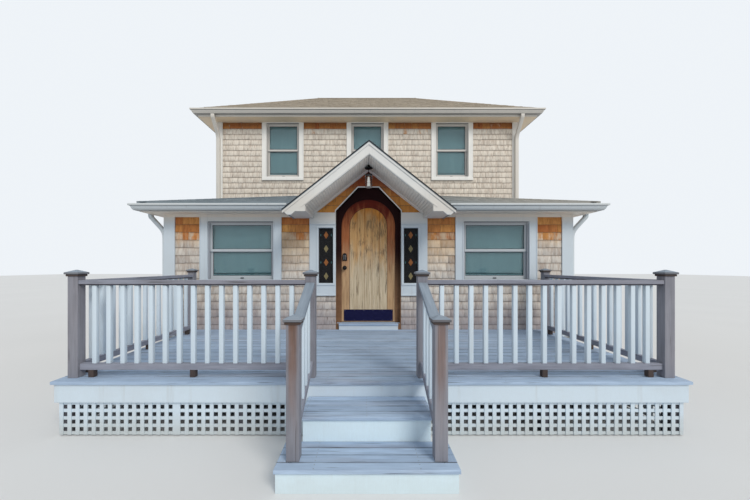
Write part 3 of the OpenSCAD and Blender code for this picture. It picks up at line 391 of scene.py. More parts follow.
def larger(first, second):
    return calculate("MAXIMUM", first, second)


def stretch(vector, scale):
    return node_value("ShaderNodeVectorMath", {0: vector, 1: scale}, operation="MULTIPLY")


def noise(vector, scale, detail, roughness):
    return node_value("ShaderNodeTexNoise", {"Vector": vector, "Scale": scale, "Detail": detail,
                                             "Roughness": roughness}, "Fac")


def between(value, low, high, smooth=True):
    """Maps a value to 0 at low and 1 at high"""
    return node_value("ShaderNodeMapRange", {"Value": value, "From Min": low, "From Max": high},
                      interpolation_type="SMOOTHSTEP" if smooth else "LINEAR")


def blend(share, first, second):
    return node_value("ShaderNodeMix", {0: share, 6: first, 7: second}, 2, data_type="RGBA")


def coats(base, *layers):
    """Lays colours over a base, each with its share"""
    for share, tint in layers:
        base = blend(share, base, tint)
    return base


def bump(height, distance, strength):
    return node_value("ShaderNodeBump", {"Height": height, "Distance": distance, "Strength": strength},
                      "Normal")


def all_outputs(field):
    return [Field(part) for part in field.socket.node.outputs]


def split(vector, kind="XYZ"):
    """The three parts of a vector or of a colour"""
    return all_outputs(node_value("ShaderNodeSeparate" + kind, {0: vector}))


def use_group(group, vector):
    return all_outputs(node_value("ShaderNodeGroup", {"Vector": vector}, node_tree=group))


def new_group(name, labels, formula):
    """A shader group that takes a vector; its formula gives one field for each label"""
    tree = bpy.data.node_groups.new(name, "ShaderNodeTree")
    tree.interface.new_socket(name="Vector", in_out="INPUT", socket_type="NodeSocketVector")
    for label in labels:
        tree.interface.new_socket(name=label, in_out="OUTPUT", socket_type="NodeSocketFloat")
    given = Field(tree.nodes.new("NodeGroupInput").outputs["Vector"])
    out = tree.nodes.new("NodeGroupOutput")
    for label, field in zip(labels, formula(given)):
        feed(out.inputs[label], field)
    return tree


def wood_grain(place):
    """Fibres and cracks of wood that run along the vector's X"""
    broad = noise(stretch(place, (1.2, 14, 14)), 2.2, 4, 0.55)
    fine = noise(stretch(place, (3, 90, 90)), 2.0, 3, 0.6)
    streaks = broad * 0.6 + fine * 0.4
    cracks = between(noise(stretch(place, (1.5, 55, 55)), 1.6, 2, 0.4), 0.66, 0.74)
    return streaks, cracks, streaks - cracks * 0.7


def weathering(place):
    """Patches and runs of weather, and soil that splashes up from the ground"""
    patches = between(noise(place, 1.7, 4, 0.6), 0.42, 0.68)
    runs = between(noise(stretch(place, (9, 9, 0.7)), 1.5, 3, 0.6), 0.55, 0.78)
    rise = split(place)[2] + noise(place, 9.0, 4, 0.6) * 0.22
    return patches, runs, between(rise, 0.36, 0.10)


grain_group = new_group("wood grain", ("Streaks", "Cracks", "Height"), wood_grain)
weather_group = new_group("weather", ("Patches", "Runs", "Soil"), weathering)


def new_material(name):
    """A material, and the place of each point of what it covers"""
    made = bpy.data.materials.new(name)
    made.use_nodes = True
    return made, Field(made.node_tree.nodes.new("ShaderNodeTexCoord").outputs["Object"])


def stored(made, name, output="Vector"):
    """What a mesh stores at its points under a name"""
    node = made.node_tree.nodes.new("ShaderNodeAttribute")
    node.attribute_name = name
    return Field(node.outputs[output])


def finish(made, **values):
    """Sets inputs of the material's shader"""
    shader = made.node_tree.nodes["Principled BSDF"]
    for key, source in values.items():
        feed(shader.inputs[key.replace("_", " ")], source)
    return made


def painted_sun_above_eaves(place):
    """0 on the lower storey and 1 above its eaves: the mask for painted sunlight above the lower eaves and
    painted shade below them
    """
    _, y, z = split(place)
    rearward = between(y, main_y + 0.05, main_y + 0.60)
    return between(z, lower_soffit_z - rearward * 1.7, lower_soffit_z + 0.35 + rearward)


# Tints of painted light for white paint: a warm painted shade just under the eaves, and a blue painted
# skylight on low boards in front of the wall
eave_shade_tint = (0.72, 0.66, 0.585)
skylit_white = (0.62, 0.735, 0.84)


def white_paint(name, shaded_tint, sunlit_tint, gloss=0.42, soiled=1.0, level=None, below=None, skylit_tint=skylit_white):
    """Painted boards with faint brush marks, runs of weather and soil near the ground. Painted light too: the
    first tint is painted shade on the lower storey, the second painted sunlight above its eaves, a blue tint
    is painted skylight on low boards in front of the wall, and a warm painted shade lies just under the eaves
    """
    made, place = new_material(name)
    patches, runs, soil = use_group(weather_group, place)
    brushed = noise(stretch(place, (60, 60, 9)), 3.0, 3, 0.6)
    _, y, z = split(place)
    # Painted skylight: low boards in front of the wall turn blue
    skylit_front = between(y, front_y - 0.05, front_y - 0.09) * between(z, deck_top + 1.35, deck_top + 1.15)
    # Painted shade just under the lower and the upper eaves
    eave_shade_lower = between(z, lower_soffit_z - 0.22, lower_soffit_z - 0.04)
    eave_shade_upper = between(z, upper_soffit_z - 0.22, upper_soffit_z - 0.02)
    base = coats(blend(skylit_front, shaded_tint, skylit_tint), (eave_shade_lower * 0.75, eave_shade_tint), (painted_sun_above_eaves(place), sunlit_tint),
                 (eave_shade_upper * 0.6, eave_shade_tint))
    if level is not None:
        base = blend(between(z, level + 0.006, level + 0.002), base, below)
    base = coats(base, (brushed * 0.2, (0.47, 0.49, 0.51)), (runs * (0.30 * soiled), (0.44, 0.46, 0.47)),
                 (patches * (0.20 * soiled), (0.50, 0.53, 0.55)),
                 (soil * (0.45 * soiled), (0.40, 0.39, 0.33)))
    return finish(made, Base_Color=base, Roughness=between(brushed, -1.2, 1.6, False),
                  Coat_Weight=gloss * 0.2, Normal=bump(brushed, 0.0006, 0.5))


def stair_post_heads(place):
    """The upper parts of the posts at the foot of the steps, where more brown is left"""
    x, y, z = split(place)
    rise = z + noise(stretch(place, (14, 14, 1.2)), 1.5, 3, 0.6) * 0.5
    wavering = noise(stretch(place, (50, 50, 2.2)), 1.2, 3, 0.6) * 0.045
    off_centre = abs(abs(x - steps_x) - flight_half) + wavering
    face = between(rise, deck_top, deck_top + 0.85) * between(off_centre, 0.066, 0.036)
    return face * between(y, deck_low.y + 0.05, deck_low.y)


def board_gap_shade(place):
    """Darker edges beside the joints of the deck's boards and the steps' boards: painted shade of the gaps"""
    _, y, z = split(place)
    found = 0.0
    for start, pitch, low, high in board_joints:
        part = calculate("FRACT", (y - start) / pitch + 0.5)
        behind = between(y, start + 0.02, start + 0.03)
        near = between(abs(part - 0.5), 0.0085 / pitch, 0.0060 / pitch) * behind
        level = between(z, low, low + 0.001) * between(z, high, high - 0.001)
        found = larger(found, near * level)
    uneven = noise(stretch(place, (2.5, 9, 9)), 1.3, 3, 0.6)
    return found * between(uneven, 0.22, 0.86, False)


def weathered_wood(name, dark, light, brown, brown_share=0.3, sawn=False, zone=None, tones=0.3, gap_shade=None):
    """Bare boards that have turned grey, with fibres, cracks and some brown left"""
    made, place = new_material(name)
    figure = place if sawn else stored(made, "figure")
    streaks, cracks, height = use_group(grain_group, figure)
    patches = use_group(weather_group, place)[0]
    fibre = between(streaks, 0.30, 0.68, False)
    board_tone = between(noise(stretch(figure, (0.04, 0.6, 0.6)), 1.0, 1, 0.5), 0.40, 0.60)
    browning = between(noise(stretch(figure, (0.5, 3, 3)), 1.3, 3, 0.6), 0.48, 0.7) * brown_share
    if zone:
        browning = larger(browning, zone(place) * 0.85)
    streaky_brown = blend(fibre, tuple(channel * 0.42 for channel in brown), brown)
    base = coats(blend(fibre, dark, light), (board_tone * tones, dark), (browning, streaky_brown),
                 (patches * 0.3, light), (cracks * 0.75, (0.06, 0.055, 0.055)))
    # Painted shade beside the gaps between boards
    if gap_shade:
        base = blend(gap_shade(place), base, (0.05, 0.055, 0.07))
    return finish(made, Base_Color=base, Roughness=between(fibre, -3.2, 1.0, False),
                  Normal=bump(height, 0.0016, 0.8))


def cedar_shingles():
    """Split cedar: pale grey where the weather reaches it, orange brown under the eaves; paler above the
    lower eaves as painted sunlight, with painted shade under the butts of each course above, along each
    butt's foot and under the upper eave, and painted light on the gable's lower part
    """
    made, place = new_material("cedar shingles")
    tone, fresh, seed = split(stored(made, "look", "Color"), "Color")
    rise = stored(made, "look", "Alpha")
    x, y, z = split(place)
    shift = seed * 43.0
    along, across, through = (z + shift) * 2.2, (x + shift) * 0.9, (y + shift) * 0.9
    upright = node_value("ShaderNodeCombineXYZ", {0: along, 1: across, 2: through})
    streaks, cracks, height = use_group(grain_group, upright)
    fibre = between(streaks, 0.32, 0.66, False)
    stain = between(noise(stretch(place, (3, 3, 1.2)), 2.0, 4, 0.65), 0.55, 0.75)
    on_front = between(y, front_y + 0.05, front_y + 0.02)
    ragged = noise(stretch(place, (8, 8, 2)), 1.5, 4, 0.6)
    splashed = between(z + ragged * 0.5, deck_top + 0.85, deck_top + 0.38)
    near_entry = between(abs(x), 1.55, 1.35)
    fall = lower_soffit_z + 0.10 - (z + ragged * 0.35)
    tanned = between(fall / (near_entry * 0.45 + 0.55), 1.0, 0.3)
    aged = coats(blend(tone, (0.36, 0.33, 0.315), (0.72, 0.675, 0.615)),
                 (fibre * 0.55, (0.76, 0.715, 0.65)),
                 (painted_sun_above_eaves(place) * 0.55, (0.90, 0.82, 0.71)),
                 (between(streaks, 0.54, 0.40) * 0.42, (0.38, 0.27, 0.20)),
                 # Painted shade under the butts of the course above
                 (between(rise, 0.62, 0.88) * 0.38, (0.34, 0.24, 0.175)),
                 (stain * 0.38, (0.30, 0.255, 0.235)),
                 (splashed * on_front * 0.62, (0.28, 0.245, 0.275)),
                 (tanned * on_front * 0.62, blend(tone, (0.50, 0.30, 0.13), (0.76, 0.53, 0.29))))
    deep = blend(fibre, (0.30, 0.075, 0.018), (0.50, 0.155, 0.040))
    light_wood = blend(fibre, (0.44, 0.185, 0.045), (0.74, 0.37, 0.11))
    redder = between(z, recess_top_z - 0.25, recess_top_z + 0.12)
    in_gable = between(z, upper_soffit_z - 0.5, upper_soffit_z - 0.7)
    lit_gable = between(z, surround_high, surround_high + 0.01) * in_gable * on_front * between(redder, 1, 0)
    # Painted shade under the upper eave
    upper_eave_shade = between(z, upper_soffit_z - 0.16, upper_soffit_z - 0.06)
    new_wood = coats(blend(tone, deep, light_wood), (redder * in_gable * 0.8, (0.27, 0.045, 0.015)),
                     (lit_gable * 0.45, (0.66, 0.29, 0.05)), (upper_eave_shade * 0.55, (0.13, 0.045, 0.012)))
    patch = noise(stretch(place, (7, 7, 3)), 1.7, 4, 0.6)
    mixed = coats(blend(between(fresh + patch * 1.3, 0.90, 1.30), aged, new_wood),
                  # Painted shade along the foot of each butt
                  (between(rise, 0.055, 0.0) * 0.75, (0.13, 0.095, 0.075)),
                  (cracks * 0.6, (0.09, 0.06, 0.045)))
    return finish(made, Base_Color=mixed, Roughness=0.86, Normal=bump(height, 0.0022, 0.9))


def wall_core():
    """What the shingles cover outside and what the rooms show inside"""
    made, place = new_material("wall boards and plaster")
    x, y, _ = split(place)
    inside_x = between(abs(x), half_w - wall_t + 0.02, half_w - wall_t - 0.005)
    ahead = between(y, front_y + wall_t - 0.02, front_y + wall_t + 0.005)
    behind = between(y, rear_y - wall_t + 0.02, rear_y - wall_t - 0.005)
    mottled = noise(place, 14.0, 4, 0.6)
    plaster = blend(mottled, (0.62, 0.60, 0.56), (0.70, 0.68, 0.64))
    boards = blend(mottled, (0.13, 0.10, 0.08), (0.22, 0.17, 0.13))
    return finish(made, Base_Color=blend(inside_x * (ahead * behind), boards, plaster), Roughness=0.85,
                  Normal=bump(mottled, 0.001, 0.4))


def mineral_roof(name, dark, light, accent, painted_sun_tint=None):
    """Roof shingles surfaced with mineral granules; a last tint, when given, is painted sunlight that grows
    towards +X
    """
    made, place = new_material(name)
    granules = noise(place, 420.0, 2, 0.7)
    blotches = noise(place, 6.0, 4, 0.6)
    tone = split(stored(made, "look", "Color"), "Color")[0] * 0.65 + blotches * 0.35
    patches = use_group(weather_group, place)[0]
    worn = coats(blend(tone, dark, light), (between(granules, 0.45, 0.6) * 0.45, accent),
                 (patches * 0.25, dark))
    # Painted sunlight: the roof grows warmer and paler towards +X
    if painted_sun_tint:
        share = between(split(place)[0] + blotches * 0.9, 0.5, 3.1) * 0.45
        worn = blend(share, worn, painted_sun_tint)
    return finish(made, Base_Color=worn, Roughness=0.9, Normal=bump(granules, 0.0012, 0.8))


def enamel():
    """White enamel on sheet metal, a little chalky, with dull runs; painted shade on the lower storey,
    painted sunlight above, and dark bands of painted shade along the gutters' folds
    """
    made, place = new_material("white enamel")
    runs = use_group(weather_group, place)[1]
    chalk = noise(place, 5.0, 4, 0.6)
    height = split(place)[2]
    # Painted shade: dark bands at the heights of the gutters' folds and bottoms
    painted_shade_lines = 0.0
    for foot in (lower_soffit_z + gutter_lift, upper_soffit_z + upper_gutter_lift):
        for low, high, share in ((-0.001, 0.006, 0.75), (0.020, 0.030, 0.35), (0.060, 0.071, 0.55)):
            rising = between(height, foot + low - 0.002, foot + low + 0.002)
            band = rising * between(height, foot + high + 0.003, foot + high - 0.001)
            painted_shade_lines = larger(painted_shade_lines, band * share)
    base = coats(blend(painted_sun_above_eaves(place), (0.62, 0.685, 0.73), (0.69, 0.655, 0.60)),
                 (chalk * 0.25, (0.45, 0.47, 0.48)), (runs * 0.35, (0.40, 0.41, 0.41)),
                 (painted_shade_lines, (0.13, 0.13, 0.135)))
    return finish(made, Base_Color=base, Roughness=between(chalk, -0.9, 1.9, False),
                  Normal=bump(chalk, 0.0008, 0.3))


def concrete(name, dark, light, unshaded_ends=None):
    """Cast concrete; where ends are given, the main colours are painted shade under a deck and the ends are
    the paler stretches beside it
    """
    made, place = new_material(name)
    soil = use_group(weather_group, place)[2]
    pores = noise(place, 55.0, 5, 0.65)
    clouds = noise(place, 2.6, 5, 0.6)
    base = blend(clouds, dark, light)
    if unshaded_ends:
        beyond = between(abs(split(place)[0]), deck_half - 0.03, deck_half + 0.02)
        base = blend(beyond, base, blend(clouds, *unshaded_ends))
    base = coats(base, (between(pores, 0.60, 0.72), (0.10, 0.10, 0.10)), (soil * 0.6, (0.20, 0.18, 0.14)))
    return finish(made, Base_Color=base, Roughness=0.92, Normal=bump(pores, 0.004, 0.7))


def door_wood(name, top, middle, low, stains, mildew=0.0):
    """Stained wood: deep under the arch, partly as painted shade of the recess, orange below it and paler
    lower down
    """
    made, place = new_material(name)
    streaks, cracks, height = use_group(grain_group, stored(made, "figure"))
    fibre = between(streaks, 0.30, 0.68, False)
    x, _, z = split(place)
    ragged = z + noise(stretch(place, (9, 9, 1.5)), 1.5, 3, 0.6) * 0.9
    base = blend(fibre, *low)
    # Darker towards the arch: stain, with painted shade of the recess at the top
    for tint, start, end in ((middle, 1.30, 1.95), (top, 2.10, 2.50)):
        base = blend(between(ragged, deck_top + start, deck_top + end), base, blend(fibre, *tint))
    runs = noise(stretch(place, (16, 16, 1.6)), 1.4, 4, 0.62)
    base = blend(between(runs, 0.57, 0.72) * stains, base, (0.055, 0.035, 0.025))
    if mildew:
        spots = noise(stretch(place, (7, 7, 3.2)), 1.2, 3, 0.6)
        lines = between(noise(stretch(place, (95, 95, 7)), 1.0, 3, 0.6), 0.42, 0.60)
        band = between(z, deck_top + 0.85, deck_top + 1.25) * between(z, deck_top + 2.0, deck_top + 1.75)
        cloud = between(spots + x * 0.22, 0.46, 0.60) * lines * band
        base = blend(cloud * mildew, base, (0.085, 0.070, 0.055))
    base = blend(cracks * 0.5, base, (0.05, 0.03, 0.02))
    return finish(made, Base_Color=base, Roughness=between(fibre, -3.0, 1.0, False), Specular_IOR_Level=0.25,
                  Normal=bump(height, 0.0014, 0.7))


def painted_metal(name, base, metallic=0.6):
    """Dark metal with worn, slightly dusty patches"""
    made, place = new_material(name)
    worn = between(noise(place, 38.0, 4, 0.6), 0.5, 0.72)
    lighter = tuple(min(1, channel * 2.2 + 0.02) for channel in base)
    return finish(made, Base_Color=blend(worn * 0.5, base, lighter), Metallic=metallic,
                  Specular_IOR_Level=0.25, Roughness=between(worn, -0.9, 1.6, False),
                  Normal=bump(worn, 0.0004, 0.4))


def clear_glass(name, tint):
    """Clear glass with a faint film of dust that shows in its gloss"""
    made, place = new_material(name)
    return finish(made, Base_Color=tint, Transmission_Weight=1.0, IOR=1.45,
                  Roughness=between(noise(place, 3.0, 4, 0.6), 0.35, 8.0, False))


def roller_shade():
    """A closed vinyl shade with a fine weave and faint upright waves"""
    made, place = new_material("roller shade")
    x, y, z = split(place)
    weave = calculate("SINE", (x + y) * 2600.0) + calculate("SINE", z * 2600.0)
    waves = noise(stretch(place, (6, 6, 0.8)), 1.6, 3, 0.55)
    return finish(made, Base_Color=blend(waves, (0.215, 0.330, 0.350), (0.305, 0.430, 0.445)), Roughness=0.6,
                  Normal=bump(waves * 3.0 + weave * 0.15, 0.001, 0.6))


def tinted_pane(name, base, gloss=0.15):
    """A small pane of rippled coloured glass"""
    made, place = new_material(name)
    ripples = noise(place, 30.0, 3, 0.6)
    lighter = tuple(min(1, channel * 1.9 + 0.03) for channel in base)
    return finish(made, Base_Color=blend(ripples, base, lighter), Roughness=0.3, Specular_IOR_Level=gloss,
                  Normal=bump(ripples, 0.003, 0.6))


def dark_frame_wood():
    """The dark frame of the entry: wood with a dark stain, near black above as painted shade of the recess,
    browner lower down
    """
    made, place = new_material("dark frame wood")
    streaks, _, height = use_group(grain_group, stretch(place, (1, 1, 0.1)))
    stain_and_recess_shade = blend(streaks, (0.009, 0.003, 0.004), (0.030, 0.009, 0.009))
    worn = blend(streaks, (0.060, 0.028, 0.018), (0.36, 0.20, 0.11))
    low = between(split(place)[2] + streaks * 0.5, deck_top + 1.55, deck_top + 0.75)
    return finish(made, Base_Color=blend(low, stain_and_recess_shade, worn), Roughness=between(streaks, -1.6, 1.2, False),
                  Specular_IOR_Level=0.1, Normal=bump(height, 0.001, 0.5))


def room_floor():
    """Oiled boards along X"""
    made, place = new_material("floor boards")
    streaks, _, height = use_group(grain_group, place)
    seam = between(calculate("FRACT", split(place)[1] / 0.09), 0.97, 1.0)
    base = blend(streaks, (0.26, 0.15, 0.07), (0.46, 0.29, 0.15))
    return finish(made, Base_Color=blend(seam, base, (0.05, 0.03, 0.02)), Roughness=0.4,
                  Normal=bump(height, 0.0006, 0.5))


# The candle's wax glows faintly: painted light, as the lantern holds no lamp
def glowing_candle_wax():
    made, place = new_material("candle wax")
    base = blend(noise(place, 22.0, 3, 0.5), (0.78, 0.76, 0.70), (0.86, 0.85, 0.80))
    return finish(made, Base_Color=base, Roughness=0.5, Subsurface_Weight=0.1, Emission_Color=(1, 0.97, 0.92),
                  Emission_Strength=0.3)


pale_concrete = ((0.36, 0.35, 0.33), (0.52, 0.51, 0.48))
# Painted light: the lower eaves take a blue painted shade, the upper eaves a warm painted sunlight
lower_eave_shaded_tint = (0.56, 0.61, 0.65)
upper_eave_sunlit_tint = (0.76, 0.74, 0.70)
soffit_tint = (0.88, 0.815, 0.735)
frieze_tint = (0.97, 0.93, 0.88)
# Each white paint's first tint is painted shade for the lower storey and its second painted sunlight above
# the lower eaves; the jambs are darker still, as painted shade in their recess
white = white_paint("white paint", (0.565, 0.645, 0.72), (0.91, 0.90, 0.87))
vinyl_white = white_paint("white vinyl", (0.47, 0.515, 0.555), (0.60, 0.58, 0.555), 0.5, 0.5)
shaded_jamb_vinyl = white_paint("window jambs", (0.30, 0.32, 0.37), (0.42, 0.40, 0.385), 0.5, 0.5)
lower_eave_white = white_paint("white paint of the lower eaves", lower_eave_shaded_tint, lower_eave_shaded_tint,
                               level=lower_soffit_z, below=(0.74, 0.655, 0.565))
upper_eave_white = white_paint("white paint of the upper eaves", upper_eave_sunlit_tint, upper_eave_sunlit_tint,
                               level=upper_soffit_z, below=(0.82, 0.66, 0.46))
gable_soffit = white_paint("soffit boards", soffit_tint, soffit_tint)
frieze_white = white_paint("frieze boards", frieze_tint, frieze_tint)
metal_strip = white_paint("flashing strips", (0.60, 0.59, 0.55), (0.70, 0.67, 0.61))
# Painted skylight: the risers are brighter and bluer than their white paint
skylit_riser_white = white_paint("risers", (0.60, 0.68, 0.75), (0.81, 0.80, 0.77), soiled=0.5,
                          skylit_tint=(0.73, 0.90, 1.0))
rake_white = white_paint("gable boards", (0.60, 0.65, 0.69), (0.745, 0.745, 0.73))
drip_metal = painted_metal("drip edge", (0.016, 0.019, 0.024), 0.3)
enamel_white = enamel()
shingle_wood = cedar_shingles()
wall_inside = wall_core()
blue_roof = mineral_roof("blue grey roof", (0.10, 0.13, 0.155), (0.225, 0.275, 0.315), (0.32, 0.36, 0.39),
                         (0.50, 0.44, 0.355))
brown_roof = mineral_roof("brown grey roof", (0.19, 0.155, 0.118), (0.39, 0.33, 0.255), (0.50, 0.45, 0.37))
# The deck's boards are weathered grey wood tinted strongly blue: painted skylight over their own grey
skylit_deck_wood = weathered_wood("deck boards", (0.255, 0.345, 0.485), (0.49, 0.63, 0.82), (0.36, 0.36, 0.42), 0.45,
                           tones=0.45, gap_shade=board_gap_shade)
rail_wood = weathered_wood("rails", (0.165, 0.175, 0.220), (0.34, 0.36, 0.44), (0.26, 0.21, 0.20))
# The sloped top rails are bluer than the level rails: painted skylight on their upper faces
skylit_slope_wood = weathered_wood("rails beside the steps", (0.16, 0.20, 0.255), (0.31, 0.375, 0.455),
                            (0.26, 0.22, 0.22), 0.25)
rail_shade = weathered_wood("undersides of rails", (0.05, 0.045, 0.055), (0.12, 0.11, 0.13),
                            (0.09, 0.06, 0.05))
post_wood = weathered_wood("posts", (0.150, 0.152, 0.182), (0.285, 0.29, 0.335), (0.225, 0.100, 0.045), 0.10,
                           zone=stair_post_heads)
cap_wood = weathered_wood("cap mouldings", (0.030, 0.023, 0.023), (0.100, 0.072, 0.064), (0.12, 0.065, 0.045),
                          0.4)
plate_wood = weathered_wood("cap plates", (0.085, 0.09, 0.105), (0.21, 0.22, 0.25), (0.17, 0.12, 0.10), 0.35)
raw_timber = weathered_wood("sawn timber", (0.20, 0.14, 0.09), (0.40, 0.30, 0.20), (0.30, 0.18, 0.10),
                            0.4, True)
# Painted shade: the timber under the deck is near black
shaded_timber = weathered_wood("timber under the deck", (0.035, 0.037, 0.050), (0.095, 0.095, 0.115),
                              (0.07, 0.05, 0.045), 0.3, True)
# The pyramid caps are grey wood tinted blue, partly painted skylight on their upward slopes
skylit_cap_wood = weathered_wood("post caps", (0.16, 0.20, 0.26), (0.31, 0.37, 0.44), (0.24, 0.22, 0.21), 0.2)
bead_wood = weathered_wood("dark bead", (0.022, 0.007, 0.005), (0.055, 0.018, 0.011),
                           (0.03, 0.010, 0.008), 0.5)
plank_wood = door_wood("door planks", ((0.37, 0.125, 0.020), (0.72, 0.30, 0.060)),
                       ((0.42, 0.22, 0.085), (0.74, 0.46, 0.21)), ((0.40, 0.31, 0.20), (0.68, 0.58, 0.43)),
                       0.8, 0.75)
rim_wood = door_wood("door rim", ((0.082, 0.009, 0.005), (0.185, 0.024, 0.013)),
                     ((0.26, 0.072, 0.028), (0.49, 0.18, 0.072)), ((0.33, 0.20, 0.105), (0.60, 0.40, 0.235)),
                     0.35)
frame_wood = dark_frame_wood()
black_metal = painted_metal("black metal", (0.012, 0.012, 0.014))
navy_metal = painted_metal("navy kick plate", (0.003, 0.003, 0.040), 0.2)
screw_metal = painted_metal("screw heads", (0.22, 0.22, 0.23), 0.8)
pewter = painted_metal("lantern base", (0.42, 0.41, 0.41), 0.2)
# Near-black lines of painted shade at the windows, which also colour the roller shades' dark hem bars
shade_line_and_hem_dark = painted_metal("dark painted shade lines and hem bars", (0.030, 0.042, 0.048), 0.0)
lead = painted_metal("lead strips", (0.014, 0.014, 0.017), 0.4)
footing = concrete("cast concrete", *pale_concrete)
# Painted shade: the foundation under the deck is near black
shaded_footing = concrete("concrete under the deck", (0.07, 0.07, 0.08), (0.14, 0.14, 0.15), pale_concrete)
pane_glass = clear_glass("window glass", (0.74, 0.87, 0.90))
lantern_clear = clear_glass("lantern glass", (0.95, 0.97, 0.98))
shade_vinyl = roller_shade()
glowing_wax = glowing_candle_wax()
inner_floor = room_floor()
dark_pane = tinted_pane("dark panes", (0.003, 0.003, 0.004), 0.04)
amber_pane = tinted_pane("amber panes", (0.19, 0.065, 0.014))
straw_pane = tinted_pane("straw panes", (0.14, 0.115, 0.055))
teal_pane = tinted_pane("teal panes", (0.03, 0.085, 0.09))


# Repeated shapes


def repeat(name, unit, places, looks=None, rise=1.0):
    """One mesh that holds a copy of the unit at each place of a list"""
    mesh = unit.data
    spots = corners_of(unit)
    count = len(spots)
    copies = len(places)
    loops = np.empty(len(mesh.loops), np.int32)
    mesh.loops.foreach_get("vertex_index", loops)
    starts = np.empty(len(mesh.polygons), np.int32)
    mesh.polygons.foreach_get("loop_start", starts)
    turns = np.array([[list(row) for row in place] for place in places], np.float32)
    moved = np.einsum("nij,kj->nki", turns[:, :3, :3], spots) + turns[:, None, :3, 3]
    step = np.arange(copies)[:, None]
    made = bpy.data.meshes.new(name)
    made.vertices.add(copies * count)
    made.vertices.foreach_set("co", moved.ravel())
    made.loops.add(copies * len(loops))
    made.loops.foreach_set("vertex_index", (loops + step * count).ravel())
    made.polygons.add(copies * len(starts))
    made.polygons.foreach_set("loop_start", (starts + step * len(loops)).ravel())
    made.update(calc_edges=True)
    if "figure" in mesh.attributes:
        figure = np.empty(count * 3, np.float32)
        mesh.attributes["figure"].data.foreach_get("vector", figure)
        shifts = np.array([[chance.uniform(0, 40) for _ in range(3)] for _ in places], np.float32)
        kept = made.attributes.new("figure", "FLOAT_VECTOR", "POINT")
        kept.data.foreach_set("vector", (figure.reshape(1, -1, 3) + shifts[:, None]).ravel())
    if looks is not None:
        colours = np.ones((copies, count, 4), np.float32)
        colours[:, :, :3] = np.array(looks, np.float32)[:, None]
        colours[:, :, 3] = np.clip(spots[:, 2] / rise, 0, 1)
        made.attributes.new("look", "FLOAT_COLOR", "POINT").data.foreach_set("color", colours.ravel())
    bpy.data.objects.remove(unit)
    return new_object(name, made)


def slab_unit(width, thickness, length, thin, edge):
    """A tapered slab on a wall: its thick butt stands on z = 0 and its face looks towards -Y"""
    deselect()
    bpy.ops.mesh.primitive_cube_add(size=1, location=(0, -thickness / 2, length / 2),
                                    scale=(width, thickness, length))
    piece = settle(bpy.context.object, "slab")
    for point in piece.data.vertices:
        if point.co.y < -thickness / 2 and point.co.z > length / 2:
            point.co.y = -thin
    pick_faces(piece, lambda face: face.normal.y < -0.9)
    bpy.ops.mesh.bevel(offset=edge, segments=1, affect="EDGES")
    leave_edit()
    return piece


def free_pieces(low, high, bottom, top, blocks):
    """What the blocks leave of a course, as (left, right, bottom, top)"""
    near = [block for block in blocks if block[2] < top - 0.004 and block[3] > bottom + 0.004]
    edges = {low, high}
    for block in near:
        edges.update(u for u in block[:2] if low < u < high)
    edges = sorted(edges)
    found = []
    for left, right in zip(edges, edges[1:]):
        middle = (left + right) / 2
        z0 = bottom
        z1 = top
        for u0, u1, b0, b1 in near:
            if u0 < middle < u1:
                if b0 - z0 >= z1 - b1:
                    z1 = min(z1, b0)
                else:
                    z0 = max(z0, b1)
        if right - left > 0.008 and z1 - z0 > 0.016:
            found.append((left, right, z0, z1))
    return found


exposure = 0.1245
upper_exposure = 0.1183
gable_exposure = 0.148
lower_top = lower_soffit_z - frieze_h
lower_butt_z = lower_top - 0.120
shingle_lap = 0.020
shingle_out = 0.013
shingle_gap = 0.0019


def shingle_wall(name, place, low, high, bottom, top, blocks=(), brown_depth=0.27, roof_line=None,
                 exposure=exposure, butt_z=lower_butt_z):
    """Courses of cedar shingles between four edges of a wall, round its blocks; one butt is at butt_z"""
    length = exposure + shingle_lap
    unit = slab_unit(0.15, shingle_out, length, 0.003, 0.0016)
    spots = []
    looks = []
    z = butt_z + math.floor((bottom - butt_z) / exposure) * exposure
    while z < top - 0.01:
        course = free_pieces(low, high, max(z, bottom), min(z + length, top), blocks)
        for left, right, z0, z1 in course:
            u = left
            while u < right - 0.001:
                width = chance.choice((0.10, 0.13, 0.16, 0.19, 0.23)) * chance.uniform(0.86, 1.14)
                if right - u - width < 0.055:
                    width = right - u
                slip = chance.uniform(-0.0025, 0.0035) if z0 == z else 0
                below = max(top - z - exposure / 2, 0)
                fresh = min((brown_depth + 0.10 - below) / 0.15, 1.15)
                fresh = min(max(fresh + chance.uniform(-0.22, 0.22), 0), 1) if fresh > -0.3 else 0
                tone = min(max(chance.gauss(0.5, 0.27), 0), 1)
                if roof_line is None or z1 > roof_line(u + width / 2):
                    size = Matrix.Diagonal(((width - shingle_gap) / 0.15, chance.uniform(0.82, 1),
                                            (z1 - z0 + slip) / length, 1))
                    tilt = Matrix.Rotation(chance.uniform(-0.004, 0.004), 4, "Y")
                    spots.append(place @ move_by(u + width / 2, 0, z0 - slip) @ tilt @ size)
                    looks.append((tone, fresh, chance.random()))
                u += width
        z += exposure
    return repeat(name, unit, spots, looks, length)


def roof_tabs(name, place, low, high, bottom, top, thickness=0.007, reach=0.143):
    """Laminated roof shingles in courses up a slope, whose face looks towards the place's -Y"""
    length = reach + 0.018
    unit = slab_unit(0.2, thickness, length, 0.0015, 0.0012)
    spots = []
    looks = []
    z = bottom
    while z < top:
        u = low - chance.uniform(0, 0.2)
        while u < high:
            width = chance.choice((0.10, 0.14, 0.18, 0.24, 0.32))
            raised = chance.random() < 0.5
            size = Matrix.Diagonal(((width - 0.002) / 0.2, 1 if raised else 0.55, 1, 1))
            spots.append(place @ move_by(u + width / 2, 0, z) @ size)
            tone = chance.uniform(0.35, 1) if raised else chance.uniform(0, 0.55)
            looks.append((tone, 0, chance.random()))
            u += width
        z += reach
    return repeat(name, unit, spots, looks, length)


